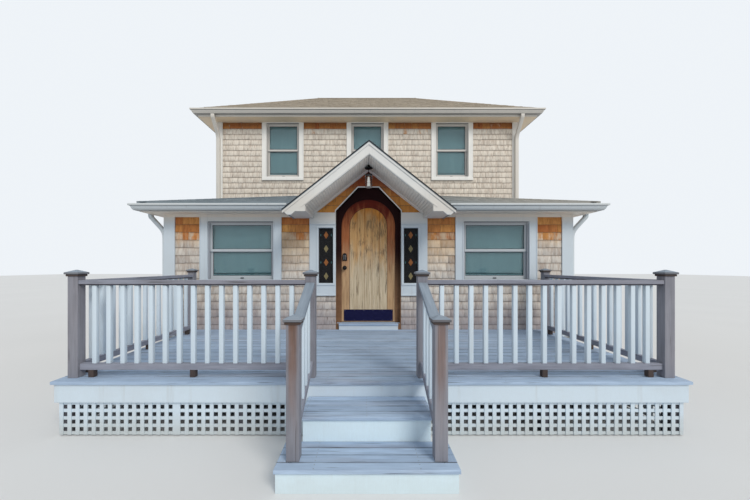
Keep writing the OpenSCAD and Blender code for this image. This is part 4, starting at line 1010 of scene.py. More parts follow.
def wall_place(x, y, turn):
    return move_by(x, y, 0) @ turned_by(turn, "Z")


walls = {
    "front": wall_place(0, front_y, 0),
    "upper_front": wall_place(0, main_y, 0),
    "rear": wall_place(0, rear_y, 180),
    "left": wall_place(-half_w, side_win_y, -90),
    "right": wall_place(half_w, side_win_y, 90),
}
windows = [(wall, lower_front, s) for wall in ("front", "rear") for s in (-1, 1)]
windows += [(wall, upper_front, s) for wall in ("upper_front", "rear") for s in (-1, 0, 1)]
windows += [(wall, size, 0) for wall in ("left", "right") for size in (lower_front, upper_front)]


def head_of(window):
    return lower_soffit_z - frieze_h if window is lower_front else upper_soffit_z


def window_blocks(wall):
    """What the casing and the sill of each window on a wall cover"""
    blocks = []
    for where, window, side in windows:
        if where == wall:
            u, sill, wide, _, casing = window
            outer = wide / 2 + casing
            blocks.append((side * u - outer, side * u + outer, sill, head_of(window)))
            blocks.append((side * u - outer, side * u + outer, sill - sill_h, sill))
    return blocks


def dress(piece, body, slot, material, *replaced):
    """Gives a new piece its finish and the body that it rides on"""
    piece.data.materials.clear()
    piece.data.materials.append(material)
    if replaced:
        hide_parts(*replaced)
    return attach(piece, body)


def house(name, pieces, slot, material, *replaced):
    """Joins pieces into one that rides on the house"""
    return dress(join(name, pieces), "house", slot, material, *replaced)


def repaint(node, material):
    """Gives a CAD node a new finish"""
    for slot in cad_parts[node].material_slots:
        slot.material = material


# The shingled walls

front_u = half_w - corner_w
upper_u = half_w - upper_corner_w
wall_slot = "cedar_shingle"
surround_out = recess_half_w + surround_w
for side, name in ((-1, "left"), (1, "right")):
    edges = sorted((side * recess_half_w, side * front_u))
    beside = sorted((side * recess_half_w, side * surround_out))
    blocks = window_blocks("front") + [(*beside, surround_low, surround_high)]
    dress(shingle_wall("shingles_front_" + name, walls["front"], *edges, deck_top - 0.02, lower_top,
                       blocks), "house", wall_slot, shingle_wood)


def lower_roof_at_wall(u):
    """Height of the lower roof's surface where it meets the two-storey part"""
    return lower_soffit_z + eave_h + lower_slope * min(half_w + lower_over - abs(u),
                                                       lower_over + main_y - front_y)


upper_blocks = window_blocks("upper_front")
dress(shingle_wall("shingles_upper_front", walls["upper_front"], -upper_u, upper_u, lower_soffit_z,
                   upper_soffit_z, upper_blocks, 0.11, lower_roof_at_wall, upper_exposure,
                   upper_soffit_z - 0.136), "house", wall_slot, shingle_wood)
dress(shingle_wall("shingles_rear", walls["rear"], -upper_u, upper_u, foundation_top, upper_soffit_z,
                   window_blocks("rear"), 0.11), "house", wall_slot, shingle_wood)
back_reach = rear_y - side_win_y
front_reach = side_win_y - front_y
for side, name in ((-1, "left"), (1, "right")):
    flat = sorted((side * back_reach, -side * back_reach))
    upper_corner = sorted((-side * back_reach, -side * (back_reach - upper_corner_w)))
    rear_corner = sorted((side * back_reach, side * (back_reach - upper_corner_w)))
    roof_z = lower_soffit_z + eave_h
    blocks = window_blocks(name) + [(*upper_corner, roof_z, upper_soffit_z),
                                    (*rear_corner, 0, upper_soffit_z)]
    main = shingle_wall("shingles_side_" + name, walls[name], *flat, foundation_top, upper_soffit_z,
                        blocks, 0.11)
    ahead = sorted((-side * back_reach, -side * (front_reach - corner_w)))
    lower = shingle_wall("lower", walls[name], *ahead, foundation_top, lower_top)
    house("shingles_side_" + name, [main, lower], wall_slot, shingle_wood)

soffit_top_z = porch_ridge_z - porch_t - 0.012
gable_butt_z = deck_top + 2.155
gable_parts = []
for side in (-1, 1):
    edges = sorted((side * recess_top_x, side * 0.905))
    part = shingle_wall("gable", walls["front"], *edges, recess_corner_z - 0.04, soffit_top_z, (), 3.0,
                        exposure=gable_exposure, butt_z=gable_butt_z)
    cut(part, (side * recess_half_w, 0, recess_corner_z),
        (-side * (recess_top_z - recess_corner_z), 0, -(recess_half_w - recess_top_x)))
    cut(part, (0, 0, soffit_top_z), (side * porch_slope, 0, 1))
    gable_parts.append(part)
middle = shingle_wall("gable", walls["front"], -recess_top_x, recess_top_x, recess_top_z, soffit_top_z, (),
                      3.0, exposure=gable_exposure, butt_z=gable_butt_z)
for side in (-1, 1):
    cut(middle, (0, 0, soffit_top_z), (side * porch_slope, 0, 1))
house("shingles_gable", gable_parts + [middle], wall_slot, shingle_wood)

# A pale strip of metal closes the joint between the upper wall and the lower roof
strips = []
for side in (-1, 1):
    run = [0, half_w - (main_y - front_y), upper_u]
    line = [(side * u, lower_roof_at_wall(u)) for u in run]
    outline = [(x, main_y - 0.0175, z - 0.010) for x, z in line]
    outline += [(x, main_y - 0.0175, z + 0.034) for x, z in reversed(line)]
    strips.append(prism(outline, (0, 0.002, 0), 0.0006, 1))
house("apron_flashing", strips, "white_metal", metal_strip)


# Roofs

roof_sink = 0.014


def sunk_copy(name, node, sink):
    """A copy of a covering, merged and sunk so that the shingles on it end where the CAD does"""
    piece = outward(new_object(name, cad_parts[node].data.copy()))
    piece.data.transform(move_by(z=-sink))
    return piece


def slope_place(edge, turn, slope):
    """Places a wall's coordinates on a slope that rises from a point of its lower edge"""
    lean = math.radians(90) - math.atan(slope)
    return (Matrix.Translation(edge) @ turned_by(turn, "Z")
            @ Matrix.Rotation(-lean, 4, "X"))


def cap_run(name, start, end, left_fall, right_fall, wing=0.115):
    """Folded caps that lap up a hip or along a ridge, between two points"""
    start = Vector(start)
    end = Vector(end)
    along = (end - start).normalized()
    side = along.cross(Vector((0, 0, 1))).normalized()
    up = side.cross(along)
    thick = 0.005
    outline = [side * -wing - up * wing * left_fall, Vector(), side * wing - up * wing * right_fall]
    points = [spot + up * thick for spot in outline] + outline[::-1]
    unit = prism([tuple(spot) for spot in points], along * 0.2, 0.0015, 1)
    unit.data.attributes.remove(unit.data.attributes["figure"])
    count = math.ceil(((end - start).length - 0.2) / 0.143) + 1
    gap = (end - start - along * 0.2) / (count - 1)
    places = []
    looks = []
    for index in range(count):
        pitch = Matrix.Rotation(-0.012, 4, side)
        places.append(Matrix.Translation(start + gap * index) @ pitch)
        looks.append((chance.uniform(0.2, 1), 0, chance.random()))
    return repeat(name, unit, places, looks)


def hip_fall(slope):
    """How fast a roof falls away, square to its hip, seen along the hip"""
    return slope / math.sqrt(2) / math.sqrt(1 + slope * slope / 2)


# The main roof: four planes, cut along the hips
main_half_d = (main_edge_y1 - main_edge_y0) / 2
main_mid_y = (main_edge_y0 + main_edge_y1) / 2
main_run = main_half_d * math.sqrt(1 + main_slope ** 2)
main_ridge_z = main_edge_z + main_half_d * main_slope
hip_cuts = {
    (1, 1): Vector((main_edge_x, main_edge_y1, 0)), (1, -1): Vector((main_edge_x, main_edge_y0, 0)),
    (-1, 1): Vector((-main_edge_x, main_edge_y1, 0)), (-1, -1): Vector((-main_edge_x, main_edge_y0, 0)),
}
edge_z = main_edge_z - roof_sink
main_sides = [
    ((0, main_edge_y0, edge_z), 0, main_edge_x, [((-1, -1), (-1, 1)), ((1, -1), (1, 1))]),
    ((0, main_edge_y1, edge_z), 180, main_edge_x, [((-1, 1), (-1, -1)), ((1, 1), (1, -1))]),
    ((-main_edge_x, main_mid_y, edge_z), -90, main_half_d, [((-1, -1), (1, -1)), ((-1, 1), (1, 1))]),
    ((main_edge_x, main_mid_y, edge_z), 90, main_half_d, [((1, -1), (-1, -1)), ((1, 1), (-1, 1))]),
]
parts = [sunk_copy("sheet", "main_roof_covering", roof_sink)]
for edge, turn, reach, cuts in main_sides:
    part = roof_tabs("tabs", slope_place(edge, turn, main_slope), -reach, reach, 0, main_run - 0.05)
    for corner, beyond in cuts:
        cut(part, hip_cuts[corner], (beyond[0], beyond[1], 0))
    if turn in (0, 180):
        cut(part, (0, main_mid_y, 0), (0, 1 if turn == 0 else -1, 0))
    parts.append(part)
top_z = main_ridge_z - 0.006
ridge_x = main_edge_x - main_half_d
fall = hip_fall(main_slope)
for side_x in (-1, 1):
    for corner_y in (main_edge_y0, main_edge_y1):
        foot = (side_x * (main_edge_x - 0.02), corner_y + (0.02 if corner_y < main_mid_y else -0.02),
                main_edge_z - 0.006)
        parts.append(cap_run("hip", foot, (side_x * ridge_x, main_mid_y, top_z), fall, fall))
parts.append(cap_run("ridge", (-ridge_x, main_mid_y, top_z), (ridge_x, main_mid_y, top_z),
                     main_slope, main_slope))
house("main_roof_shingles", parts, "roof_covering", brown_roof, "main_roof_covering")

# The lower roof: three planes that lean on the two-storey part, cut along hips and valleys
lower_depth = main_y - roof_edge_y
lower_run = lower_depth * math.sqrt(1 + lower_slope ** 2)
edge_z = lower_edge_z - roof_sink
parts = [sunk_copy("sheet", "lower_roof_covering", roof_sink)]
for side in (-1, 1):
    reach = sorted((0, side * roof_edge_x))
    part = roof_tabs("tabs", slope_place((0, roof_edge_y, edge_z), 0, lower_slope), *reach, 0, lower_run)
    cut(part, (side * roof_edge_x, roof_edge_y, 0), (side, 1, 0))
    cut(part, (0, main_y, 0), (0, 1, 0))
    cut(part, (0, 0, porch_ridge_z - 0.03), (-side * porch_slope, 0, -1), closed=False)
    parts.append(part)
    reach = sorted((-side * lower_depth, 0))
    part = roof_tabs("tabs", slope_place((side * roof_edge_x, main_y, edge_z), 90 * side, lower_slope),
                     *reach, 0, lower_run)
    cut(part, (side * roof_edge_x, roof_edge_y, 0), (-side, -1, 0))
    cut(part, (0, main_y, 0), (0, 1, 0))
    parts.append(part)
    foot = (side * (roof_edge_x - 0.02), roof_edge_y + 0.02, lower_edge_z - 0.006)
    head = (side * (roof_edge_x - lower_depth), main_y, lower_edge_z + lower_depth * lower_slope - 0.006)
    fall = hip_fall(lower_slope)
    parts.append(cap_run("hip", foot, head, fall, fall))
house("lower_roof_shingles", parts, "roof_covering", blue_roof, "lower_roof_covering")

# The gable's roof: two steep planes from its face back to the two-storey part
porch_front = porch_low.y
porch_edge_z = porch_ridge_z - porch_half_w * porch_slope
porch_run = porch_half_w * math.sqrt(1 + porch_slope ** 2)
parts = [sunk_copy("sheet", "porch_covering", 0.010)]
porch_reach = (main_y - porch_front) / 2 + 0.1
for side in (-1, 1):
    edge = (side * porch_half_w, (porch_front + main_y) / 2, porch_edge_z - 0.010)
    ahead = roof_tabs("tabs", slope_place(edge, 90 * side, porch_slope), -porch_reach, porch_reach, 0,
                      porch_run - 0.03)
    cut(ahead, (0, porch_front, 0), (0, -1, 0))
    cut(ahead, (0, main_y, 0), (0, 1, 0))
    cut(ahead, (0, 0, 0), (-side, 0, 0))
    behind = new_object("tabs", ahead.data.copy())
    cut(ahead, (0, front_y, 0), (0, 1, 0), closed=False)
    cut(behind, (0, front_y, 0), (0, -1, 0), closed=False)
    cut(behind, (0, roof_edge_y, lower_edge_z - 0.016), (0, lower_slope, -1), closed=False)
    parts += [ahead, behind]
parts.append(cap_run("ridge", (0, porch_front, porch_ridge_z - 0.006), (0, main_y, porch_ridge_z - 0.006),
                     porch_slope, porch_slope, 0.10))
house("porch_roof_shingles", parts, "roof_covering", blue_roof, "porch_covering")


# The gable's face and soffit

rake_y0 = porch_front + 0.015
rake_y1 = rake_y0 + rake_t
foot_z = deck_top + 1.8
foot_x = 0.885
rake_top = porch_ridge_z - porch_cover_t
tip = porch_half_w - 0.002
inner_z = porch_ridge_z - porch_t


def rake_board(side):
    """One sloping board with its tail, and the two mouldings that run along it"""
    outline = [(0, rake_top), (tip, rake_top - tip * porch_slope), (tip - 0.07, foot_z - 0.062),
               (tip - 0.125, foot_z - 0.062), (tip - 0.18, foot_z - 0.014),
               (foot_x + 0.005, foot_z - 0.014),
               (foot_x + 0.005, inner_z - (foot_x + 0.005) * porch_slope), (0, inner_z)]
    strips = [(outline, 0.0, rake_t, 0.003)]
    for top, depth, out in ((rake_top - 0.001, 0.042, 0.012), (inner_z + 0.034, 0.022, 0.006)):
        end = tip - 0.004 if top > inner_z + 0.1 else foot_x + 0.06
        band = [(0, top), (end, top - end * porch_slope), (end, top - depth - end * porch_slope),
                (0, top - depth)]
        strips.append((band, -out, out + 0.004, 0.002))
    made = []
    for points, start, depth, edge in strips:
        made.append(panel(points, rake_y0 + start, depth, edge, side=side))
    return made


rakes = rake_board(-1) + rake_board(1)
house("rake_mouldings", rakes, "white_trim", rake_white, "rake_boards")

# A dark edge of metal closes the front of the gable's roof
edges = []
for side in (-1, 1):
    top = porch_ridge_z - 0.003
    outline = [(0, top), (tip, top - tip * porch_slope), (tip, top - 0.022 - tip * porch_slope),
               (0, top - 0.022)]
    edges.append(panel(outline, porch_front - 0.0015, 0.004, 0.0005, 1, side))
house("gable_drip_edge", edges, "black_metal", drip_metal)

plank_w = 0.042
slope_len = math.sqrt(1 + porch_slope ** 2)
count = int((foot_x + 0.01) * slope_len / plank_w)
unit = board((-plank_w / 2 + 0.0015, rake_y1, 0), (plank_w / 2 - 0.0015, front_y, 0.009), 0.004, 1)
places = []
for side in (-1, 1):
    for index in range(count):
        across = (index + 0.5) * plank_w / slope_len
        place = move_by(side * across, 0, inner_z - 0.010 - across * porch_slope)
        places.append(place @ Matrix.Rotation(side * math.atan(porch_slope), 4, "Y"))
dress(repeat("porch_soffit_boards", unit, places), "house", "white_trim", gable_soffit)

# A flat strip closes the corner between the soffit boards and the wall
soffit_x = (inner_z - surround_high) / porch_slope
strips = []
for side in (-1, 1):
    top = inner_z - 0.0098
    outline = [(0, top), (soffit_x, top - soffit_x * porch_slope),
               (soffit_x, top - 0.008 - soffit_x * porch_slope), (0, top - 0.008)]
    strips.append(panel(outline, front_y - 0.15, 0.15, 0.002, side=side))
house("gable_corner_strips", strips, "white_trim", frieze_white)


# Windows


def window_unit(window, head):
    """The parts of one double-hung window, with its opening's foot in the middle at z = 0"""
    _, sill, wide, high, casing = window
    top = head - sill
    half = wide / 2
    outer = half + casing
    trim = [board((-half, -trim_t, high), (half, 0, top)),
            board((-outer, -sill_out, -sill_h), (outer, 0, 0), 0.005, 3),
            ring((-half - 0.020, -trim_t - 0.007, -0.001), (half + 0.020, -trim_t + 0.004, high + 0.020),
                 0.020, 0.003)]
    for side in (-1, 1):
        trim.append(board((side * half, -trim_t, 0), (side * outer, 0, top)))
        trim.append(board((side * (outer - 0.016), -trim_t - 0.006, 0), (side * outer, -trim_t + 0.002, top),
                          0.002))
    jamb = 0.012
    rail = 0.038
    sash_y = 0.030
    sash_t = 0.026
    inner = half - jamb
    pane = inner - rail
    pane_high = (high - 2 * jamb - foot_rail) / 2 - rail
    meeting = jamb + foot_rail + pane_high
    jambs = [ring((-half, 0.010, 0), (half, 0.092, high), jamb, 0.001, 1),
             ring((-half + 0.0005, -0.006, 0.0005), (half - 0.0005, 0.016, high - 0.0005), 0.022, 0.003)]
    vinyl = [ring((-inner, sash_y, meeting), (inner, sash_y + sash_t, meeting + pane_high + 2 * rail), rail,
                  0.003),
             ring((-inner, sash_y + sash_t, jamb), (inner, sash_y + 2 * sash_t, meeting + rail), rail, 0.003,
                  foot=foot_rail)]
    # Painted shade: a near-black strip under each head and near-black rings round the panes
    shade_lines_and_hems = [board((-half + 0.001, -0.009, high - 0.011), (half - 0.001, -0.001, high - 0.001), 0.002)]
    for start, pane_z in ((sash_y, meeting + rail), (sash_y + sash_t, jamb + foot_rail)):
        vinyl.append(ring((-pane - 0.007, start + 0.004, pane_z - 0.007),
                          (pane + 0.007, start + 0.012, pane_z + pane_high + 0.007), 0.010, 0.002, 1))
        shade_lines_and_hems.append(ring((-pane + 0.002, start + 0.006, pane_z + 0.002),
                            (pane - 0.002, start + 0.0103, pane_z + pane_high - 0.002), 0.008, 0.001, 1))
    # The dark hem bar of the roller shade
    shade_lines_and_hems.append(board((-pane + 0.004, 0.0745, jamb + foot_rail + 0.038),
                         (pane - 0.004, 0.0815, jamb + foot_rail + 0.046), 0.003, 3))
    lift_y = sash_y + sash_t - 0.010
    fittings = [board((-0.028, lift_y, jamb + 0.020), (0.028, lift_y + 0.014, jamb + 0.036), 0.004),
                board((-0.028, sash_y + sash_t, meeting + rail - 0.004),
                      (0.028, 0.078, meeting + rail + 0.010), 0.003)]
    return {"trim": join("trim", trim), "jambs": join("jambs", jambs), "vinyl": join("vinyl", vinyl),
            "shade_lines_and_hems": join("shade_lines_and_hems", shade_lines_and_hems), "fittings": join("fittings", fittings)}


made = {"trim": [], "jambs": [], "vinyl": [], "shade_lines_and_hems": [], "fittings": []}
for window in (lower_front, upper_front):
    unit = window_unit(window, head_of(window))
    for wall, size, side in windows:
        if size is window:
            place = walls[wall] @ move_by(side * window[0], 0, window[1])
            for kind, piece in unit.items():
                made[kind].append(twin(piece, place))
    for piece in unit.values():
        bpy.data.objects.remove(piece)
house("window_trim", made["trim"], "white_trim", white, "window_casings")
house("window_frames", made["vinyl"], "white_trim", vinyl_white, "window_sashes")
house("window_jambs", made["jambs"], "white_trim", shaded_jamb_vinyl)
house("window_shade_lines_and_hems", made["shade_lines_and_hems"], "black_metal", shade_line_and_hem_dark)
house("window_fittings", made["fittings"], "black_metal", black_metal)


# The entry

def band_prism(name, foot, y0, y1, inner, outer, edge):
    """A band round the recess's top, as one outline drawn out along Y"""
    def grown(by):
        corner = by * math.tan(math.atan2(recess_top_z - recess_corner_z, recess_half_w - recess_top_x) / 2)
        lift = by * math.tan((math.pi / 2 - math.atan2(recess_top_z - recess_corner_z,
                                                       recess_half_w - recess_top_x)) / 2)
        return [(-recess_half_w - by, foot), (-recess_half_w - by, recess_corner_z + lift),
                (-recess_top_x - corner, recess_top_z + by), (recess_top_x + corner, recess_top_z + by),
                (recess_half_w + by, recess_corner_z + lift), (recess_half_w + by, foot)]
    points = grown(outer) + list(reversed(grown(inner)))
    piece = panel(points, y0, y1 - y0, edge)
    piece.name = name
    return run_figure(piece, Vector((0, 0, 1)))


sill_z = floor_top + 0.008
frame_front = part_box("door_frame")[0].y
dress(band_prism("recess_lining", sill_z, front_y - 0.004, frame_front + 0.004, -0.012, 0.0, 0.002),
      "house", "dark_frame", frame_wood)
dress(band_prism("recess_edge", surround_high + 0.002, front_y - 0.024, front_y + 0.004, -0.002, 0.014,
                 0.003), "house", "white_trim", white)

sidelight_w = 0.238
sidelight_z0 = deck_top + 0.749
sidelight_z1 = sidelight_z0 + 0.896
sidelight_x = recess_half_w + (surround_w - sidelight_w) / 2 - 0.052
surround = []
for side in (-1, 1):
    def flank(x0, x1, z0, z1, out=trim_t, edge=0.003):
        return board((side * x0, front_y - out, z0), (side * x1, front_y, z1), edge)
    x0 = sidelight_x
    x1 = sidelight_x + sidelight_w
    surround += [flank(recess_half_w, x0, surround_low, sidelight_z1),
                 flank(x1, surround_out, surround_low, sidelight_z1),
                 flank(x0, x1, surround_low, sidelight_z0),
                 flank(recess_half_w, surround_out - 0.002, sidelight_z1 + 0.050, sidelight_z1 + 0.072,
                       trim_t + 0.018, 0.005),
                 flank(recess_half_w, surround_out, surround_low - 0.004, surround_low + 0.022,
                       trim_t + 0.012, 0.005)]
    high_board = [(recess_half_w, sidelight_z1), (surround_out, sidelight_z1), (surround_out, foot_z - 0.001),
                  (foot_x - 0.001, foot_z - 0.001),
                  (foot_x - 0.001, porch_ridge_z - porch_t - foot_x * porch_slope),
                  (soffit_x, surround_high), (recess_half_w, surround_high)]
    surround.append(panel(high_board, front_y - trim_t, trim_t, 0.003, side=side))
    surround.append(ring((side * (x0 - 0.034), front_y - trim_t - 0.012, sidelight_z0 - 0.034),
                         (side * (x1 + 0.034), front_y - trim_t + 0.002, sidelight_z1 + 0.034), 0.034, 0.004))
    surround.append(ring((side * x0, front_y - trim_t, sidelight_z0),
                         (side * x1, front_y + 0.034, sidelight_z1), 0.003, 0.001))
house("entry_boards", surround, "white_trim", white, "entry_surround")

# The sidelights: leaded panes in a plain pattern of lozenges
pane_y = front_y + 0.020
glass_back = []
leads = []
panes = {"amber": [], "straw": [], "teal": []}
pane_half = sidelight_w / 2 - 0.003
pane_low = sidelight_z0 + 0.003
pane_high = sidelight_z1 - 0.003
rows = 4
row_h = (pane_high - pane_low) / rows


def lead_strip(start, end, width=0.007):
    """A flat lead strip between two points of the pane"""
    start = Vector((start[0], 0, start[1]))
    end = Vector((end[0], 0, end[1]))
    run = (end - start).length
    strip = board((0, pane_y - 0.0035, -width / 2), (run, pane_y + 0.001, width / 2), 0.0018, 1)
    turn = Matrix.Rotation(-math.atan2(end.z - start.z, end.x - start.x), 4, "Y")
    strip.data.transform(Matrix.Translation(start) @ turn)
    return strip


def pane_shape(points):
    return panel(points, pane_y - 0.0015, 0.003, 0.0008, 1)


for side in (-1, 1):
    middle = side * (sidelight_x + sidelight_w / 2)
    glass_back.append(board((middle - pane_half - 0.004, pane_y, pane_low - 0.004),
                            (middle + pane_half + 0.004, pane_y + 0.010, pane_high + 0.004), 0.002))
    leads.append(ring((middle - pane_half, pane_y - 0.005, pane_low),
                      (middle + pane_half, pane_y + 0.001, pane_high), 0.008, 0.001, 1))
    inset = 0.052
    for edge in (-1, 1):
        leads.append(lead_strip((middle + edge * (pane_half - inset), pane_low),
                                (middle + edge * (pane_half - inset), pane_high), 0.005))
    reach = pane_half - inset
    for row in range(rows):
        z = pane_low + (row + 0.5) * row_h
        tall = row_h / 2
        for dx, dz in ((-1, -1), (-1, 1), (1, -1), (1, 1)):
            leads.append(lead_strip((middle, z + dz * tall * 0.86), (middle + dx * reach, z), 0.006))
        slim = reach - 0.026
        panes["amber" if row % 2 else "straw"].append(pane_shape(
            [(middle - slim, z), (middle, z - tall * 0.55), (middle + slim, z), (middle, z + tall * 0.55)]))
        for edge in (-1, 1):
            centre = middle + edge * (pane_half - inset / 2 - 0.004)
            if row % 2:
                panes["teal"].append(pane_shape([(centre - 0.009, z), (centre, z - 0.026),
                                                 (centre + 0.009, z), (centre, z + 0.026)]))
            leads.append(lead_strip((middle + edge * reach, z + tall),
                                    (middle + edge * (pane_half - 0.004), z + tall), 0.005))
house("sidelight_glazing", glass_back, "leaded_glass", dark_pane, "sidelight_glass")
house("sidelight_leads", leads, "leaded_glass", lead)
for tint, shader_of in (("amber", amber_pane), ("straw", straw_pane), ("teal", teal_pane)):
    house("sidelight_panes_" + tint, panes[tint], "leaded_glass", shader_of)

# The threshold: a white riser under a grey tread, and a grey sill behind it
step_low, step_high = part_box("door_threshold")
tread_z = step_high.z - 0.030
front_half = 0.478
riser = board((-front_half + 0.003, step_low.y + 0.012, deck_top), (front_half - 0.003, front_y, tread_z))
dress(riser, "house", "white_trim", white)
riser.name = "threshold_riser"
treads = [board((-front_half, step_low.y, tread_z), (front_half, front_y + 0.002, step_high.z), 0.005, 3),
          board((-recess_half_w + 0.001, front_y + 0.003, floor_top),
                (recess_half_w - 0.001, 0.08, step_high.z))]
house("threshold_tread", treads, "weathered_wood", skylit_deck_wood, "door_threshold")
feet = []
for side in (-1, 1):
    feet.append(board((side * (front_half - 0.01), front_y - 0.008, deck_top),
                      (side * (recess_half_w - 0.001), front_y + 0.004, step_high.z - 0.001), 0.002))
house("recess_feet", feet, "dark_frame", frame_wood)


# The front door

door_r = door_high.x
arch_z = door_high.z - door_r
arch_steps = 40


def arch_outline(shrink, foot):
    """Points round an arched leaf, from its left foot to its right foot"""
    radius = door_r - shrink
    points = [(-radius, foot)]
    for index in range(arch_steps + 1):
        angle = math.pi * (1 - index / arch_steps)
        points.append((radius * math.cos(angle), arch_z + radius * math.sin(angle)))
    points.append((radius, foot))
    return points


door_front = door_low.y
door_back = door_high.y
door_foot = door_low.z
rim_w = 0.146
sink = 0.010


def arched_figure(piece):
    """Lets the grain run up the stiles, round the arch and along the foot"""
    spots = corners_of(piece)
    along = np.empty_like(spots)
    angle = np.arctan2(spots[:, 0], np.maximum(spots[:, 2] - arch_z, 0) + 1e-6)
    above = spots[:, 2] > arch_z
    radius = np.hypot(spots[:, 0], spots[:, 2] - arch_z)
    along[:, 0] = np.where(above, angle * 0.4, np.sign(spots[:, 0]) * math.pi / 2 * 0.4
                           + (arch_z - spots[:, 2]) * np.sign(spots[:, 0]))
    along[:, 1] = np.where(above, radius, np.abs(spots[:, 0]))
    along[:, 2] = spots[:, 1]
    return store_figure(piece, along)


rim = panel(arch_outline(0, door_foot), door_front, door_back - door_front)
pick_faces(rim, lambda face: face.normal.y < -0.9)
bpy.ops.mesh.inset(thickness=rim_w)
bpy.ops.mesh.extrude_region_move(TRANSFORM_OT_translate={"value": (0, sink, 0)})
leave_edit()
soften(rim, 0.004, 3, 35)
dress(arched_figure(rim), "door", "door_rim_wood", rim_wood, "front_door")
rim.name = "door_rim"

field_half = door_r - rim_w - 0.003
plank_n = 5
plank_gap = 0.004
plank_w = (2 * field_half + plank_gap) / plank_n - plank_gap
planks = []
for index in range(plank_n):
    x0 = -field_half + index * (plank_w + plank_gap)
    x1 = x0 + plank_w
    spots = [(x0, door_foot + rim_w + 0.003), (x1, door_foot + rim_w + 0.003)]
    for step in range(9):
        x = x1 + (x0 - x1) * step / 8
        rise = math.sqrt(max(field_half ** 2 - x * x, 0))
        spots.append((x, arch_z + (rise if rise > 0.02 else 0)))
    plank = panel(spots, door_front + 0.003, sink - 0.003, 0.0028)
    planks.append(run_figure(plank, Vector((0, 0, 1))))
dress(join("door_planks_dressed", planks), "door", "door_plank_wood", plank_wood, "door_planks")

# A dark round moulding closes the joint between the rim and the planks
joint = [(x, door_front + sink - 0.0035, z)
         for x, z in arch_outline(rim_w - 0.001, door_foot + rim_w - 0.001)]
bead = trace(joint + [joint[0]], False)
leave_edit()
bead = settle(bead, "door_bead")
outward(bead)
make_active(bead)
bpy.ops.object.convert(target="CURVE")
bead.data.bevel_depth = 0.0065
bead.data.bevel_resolution = 1
bead.data.use_fill_caps = True
bpy.ops.object.convert(target="MESH")
outward(bead)
dress(run_figure(bead, Vector((0, 0, 1))), "door", "door_rim_wood", bead_wood)

plate_low, plate_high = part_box("kick_plate")
plate = board((plate_low.x, plate_low.y + 0.0008, plate_low.z),
              (plate_high.x, door_front + 0.0005, plate_high.z), 0.0012)
screw = turned([(0.0, 0.0016), (0.0025, 0.0014), (0.0042, 0.0004), (0.0044, 0), (0, 0)], (0, 0, 0), 12)
screw.data.transform(turned_by(90, "X"))
places = []
for x in np.linspace(plate_low.x + 0.018, plate_high.x - 0.018, 6):
    for z in (plate_low.z + 0.016, plate_high.z - 0.016):
        places.append(move_by(float(x), plate_low.y + 0.0012, z))
dress(join("kick_plate_dressed", [plate]), "door", "kick_plate_metal", navy_metal, "kick_plate")
dress(repeat("kick_plate_screws", screw, places), "door", "black_metal", screw_metal)

knob_x = -door_r + 0.066
knob_z = door_foot + 0.89


def facing(piece, x, y, z, back=False):
    """Turns an upright turned piece so that it points out of the door"""
    piece.data.transform(move_by(x, y, z) @ turned_by(-90 if back else 90, "X"))
    return piece


knob_profile = [(0, 0), (0.035, 0), (0.036, 0.002), (0.034, 0.006), (0.020, 0.009), (0.012, 0.011),
                (0.0105, 0.016), (0.0105, 0.028), (0.014, 0.032), (0.024, 0.036), (0.0290, 0.043),
                (0.0300, 0.050), (0.0287, 0.058), (0.023, 0.066), (0.013, 0.0715), (0, 0.073)]
hardware = [facing(turned(knob_profile, (0, 0, 0), 36), knob_x, door_front, knob_z),
            facing(turned(knob_profile, (0, 0, 0), 28), knob_x, door_back, knob_z, True)]
pad_z = knob_z + 0.12
pad = [(-0.035, 0), (0.035, 0)]
for index in range(13):
    angle = math.pi * index / 12
    pad.append((0.035 * math.cos(angle), 0.088 + 0.035 * math.sin(angle)))
hardware.append(panel([(knob_x + x, pad_z + z) for x, z in pad], door_front - 0.020, 0.020, 0.004, 3))
hardware.append(board((knob_x - 0.040, door_front - 0.005, pad_z - 0.004),
                      (knob_x + 0.040, door_front, pad_z + 0.060), 0.002))
button = board((-0.0075, -0.0022, -0.0045), (0.0075, 0, 0.0045), 0.0012, 2)
places = [move_by(knob_x + x, door_front - 0.0195, pad_z + 0.020 + row * 0.0165)
          for x in (-0.0125, 0.0125) for row in range(5)]
buttons = repeat("buttons", button, places)
hinge_x = door_r + 0.004
hinge_y = 0.091
for low_z in (0.2, 0.86, 1.4):
    z = door_foot + low_z
    hardware.append(board((hinge_x - 0.07, door_back, z + 0.0005),
                          (hinge_x - 0.001, door_back + 0.003, z + 0.1045), 0.0008))
    knuckle = turned([(0.0065, 0.0005), (0.0105, 0.0005), (0.011, 0.0012), (0.011, 0.0328), (0.0105, 0.0335),
                      (0.0065, 0.0335), (0.0065, 0.0005)], (hinge_x, hinge_y, z + 0.035), 24)
    web = board((hinge_x - 0.011, door_back + 0.001, z + 0.0358),
                (hinge_x - 0.006, hinge_y, z + 0.0692), 0.0005)
    hardware += [knuckle, web]
dress(join("door_fittings", hardware), "door", "black_metal", black_metal, "door_hardware")
dress(buttons, "door", "black_metal", screw_metal)
buttons.name = "keypad_buttons"


# The entry lantern

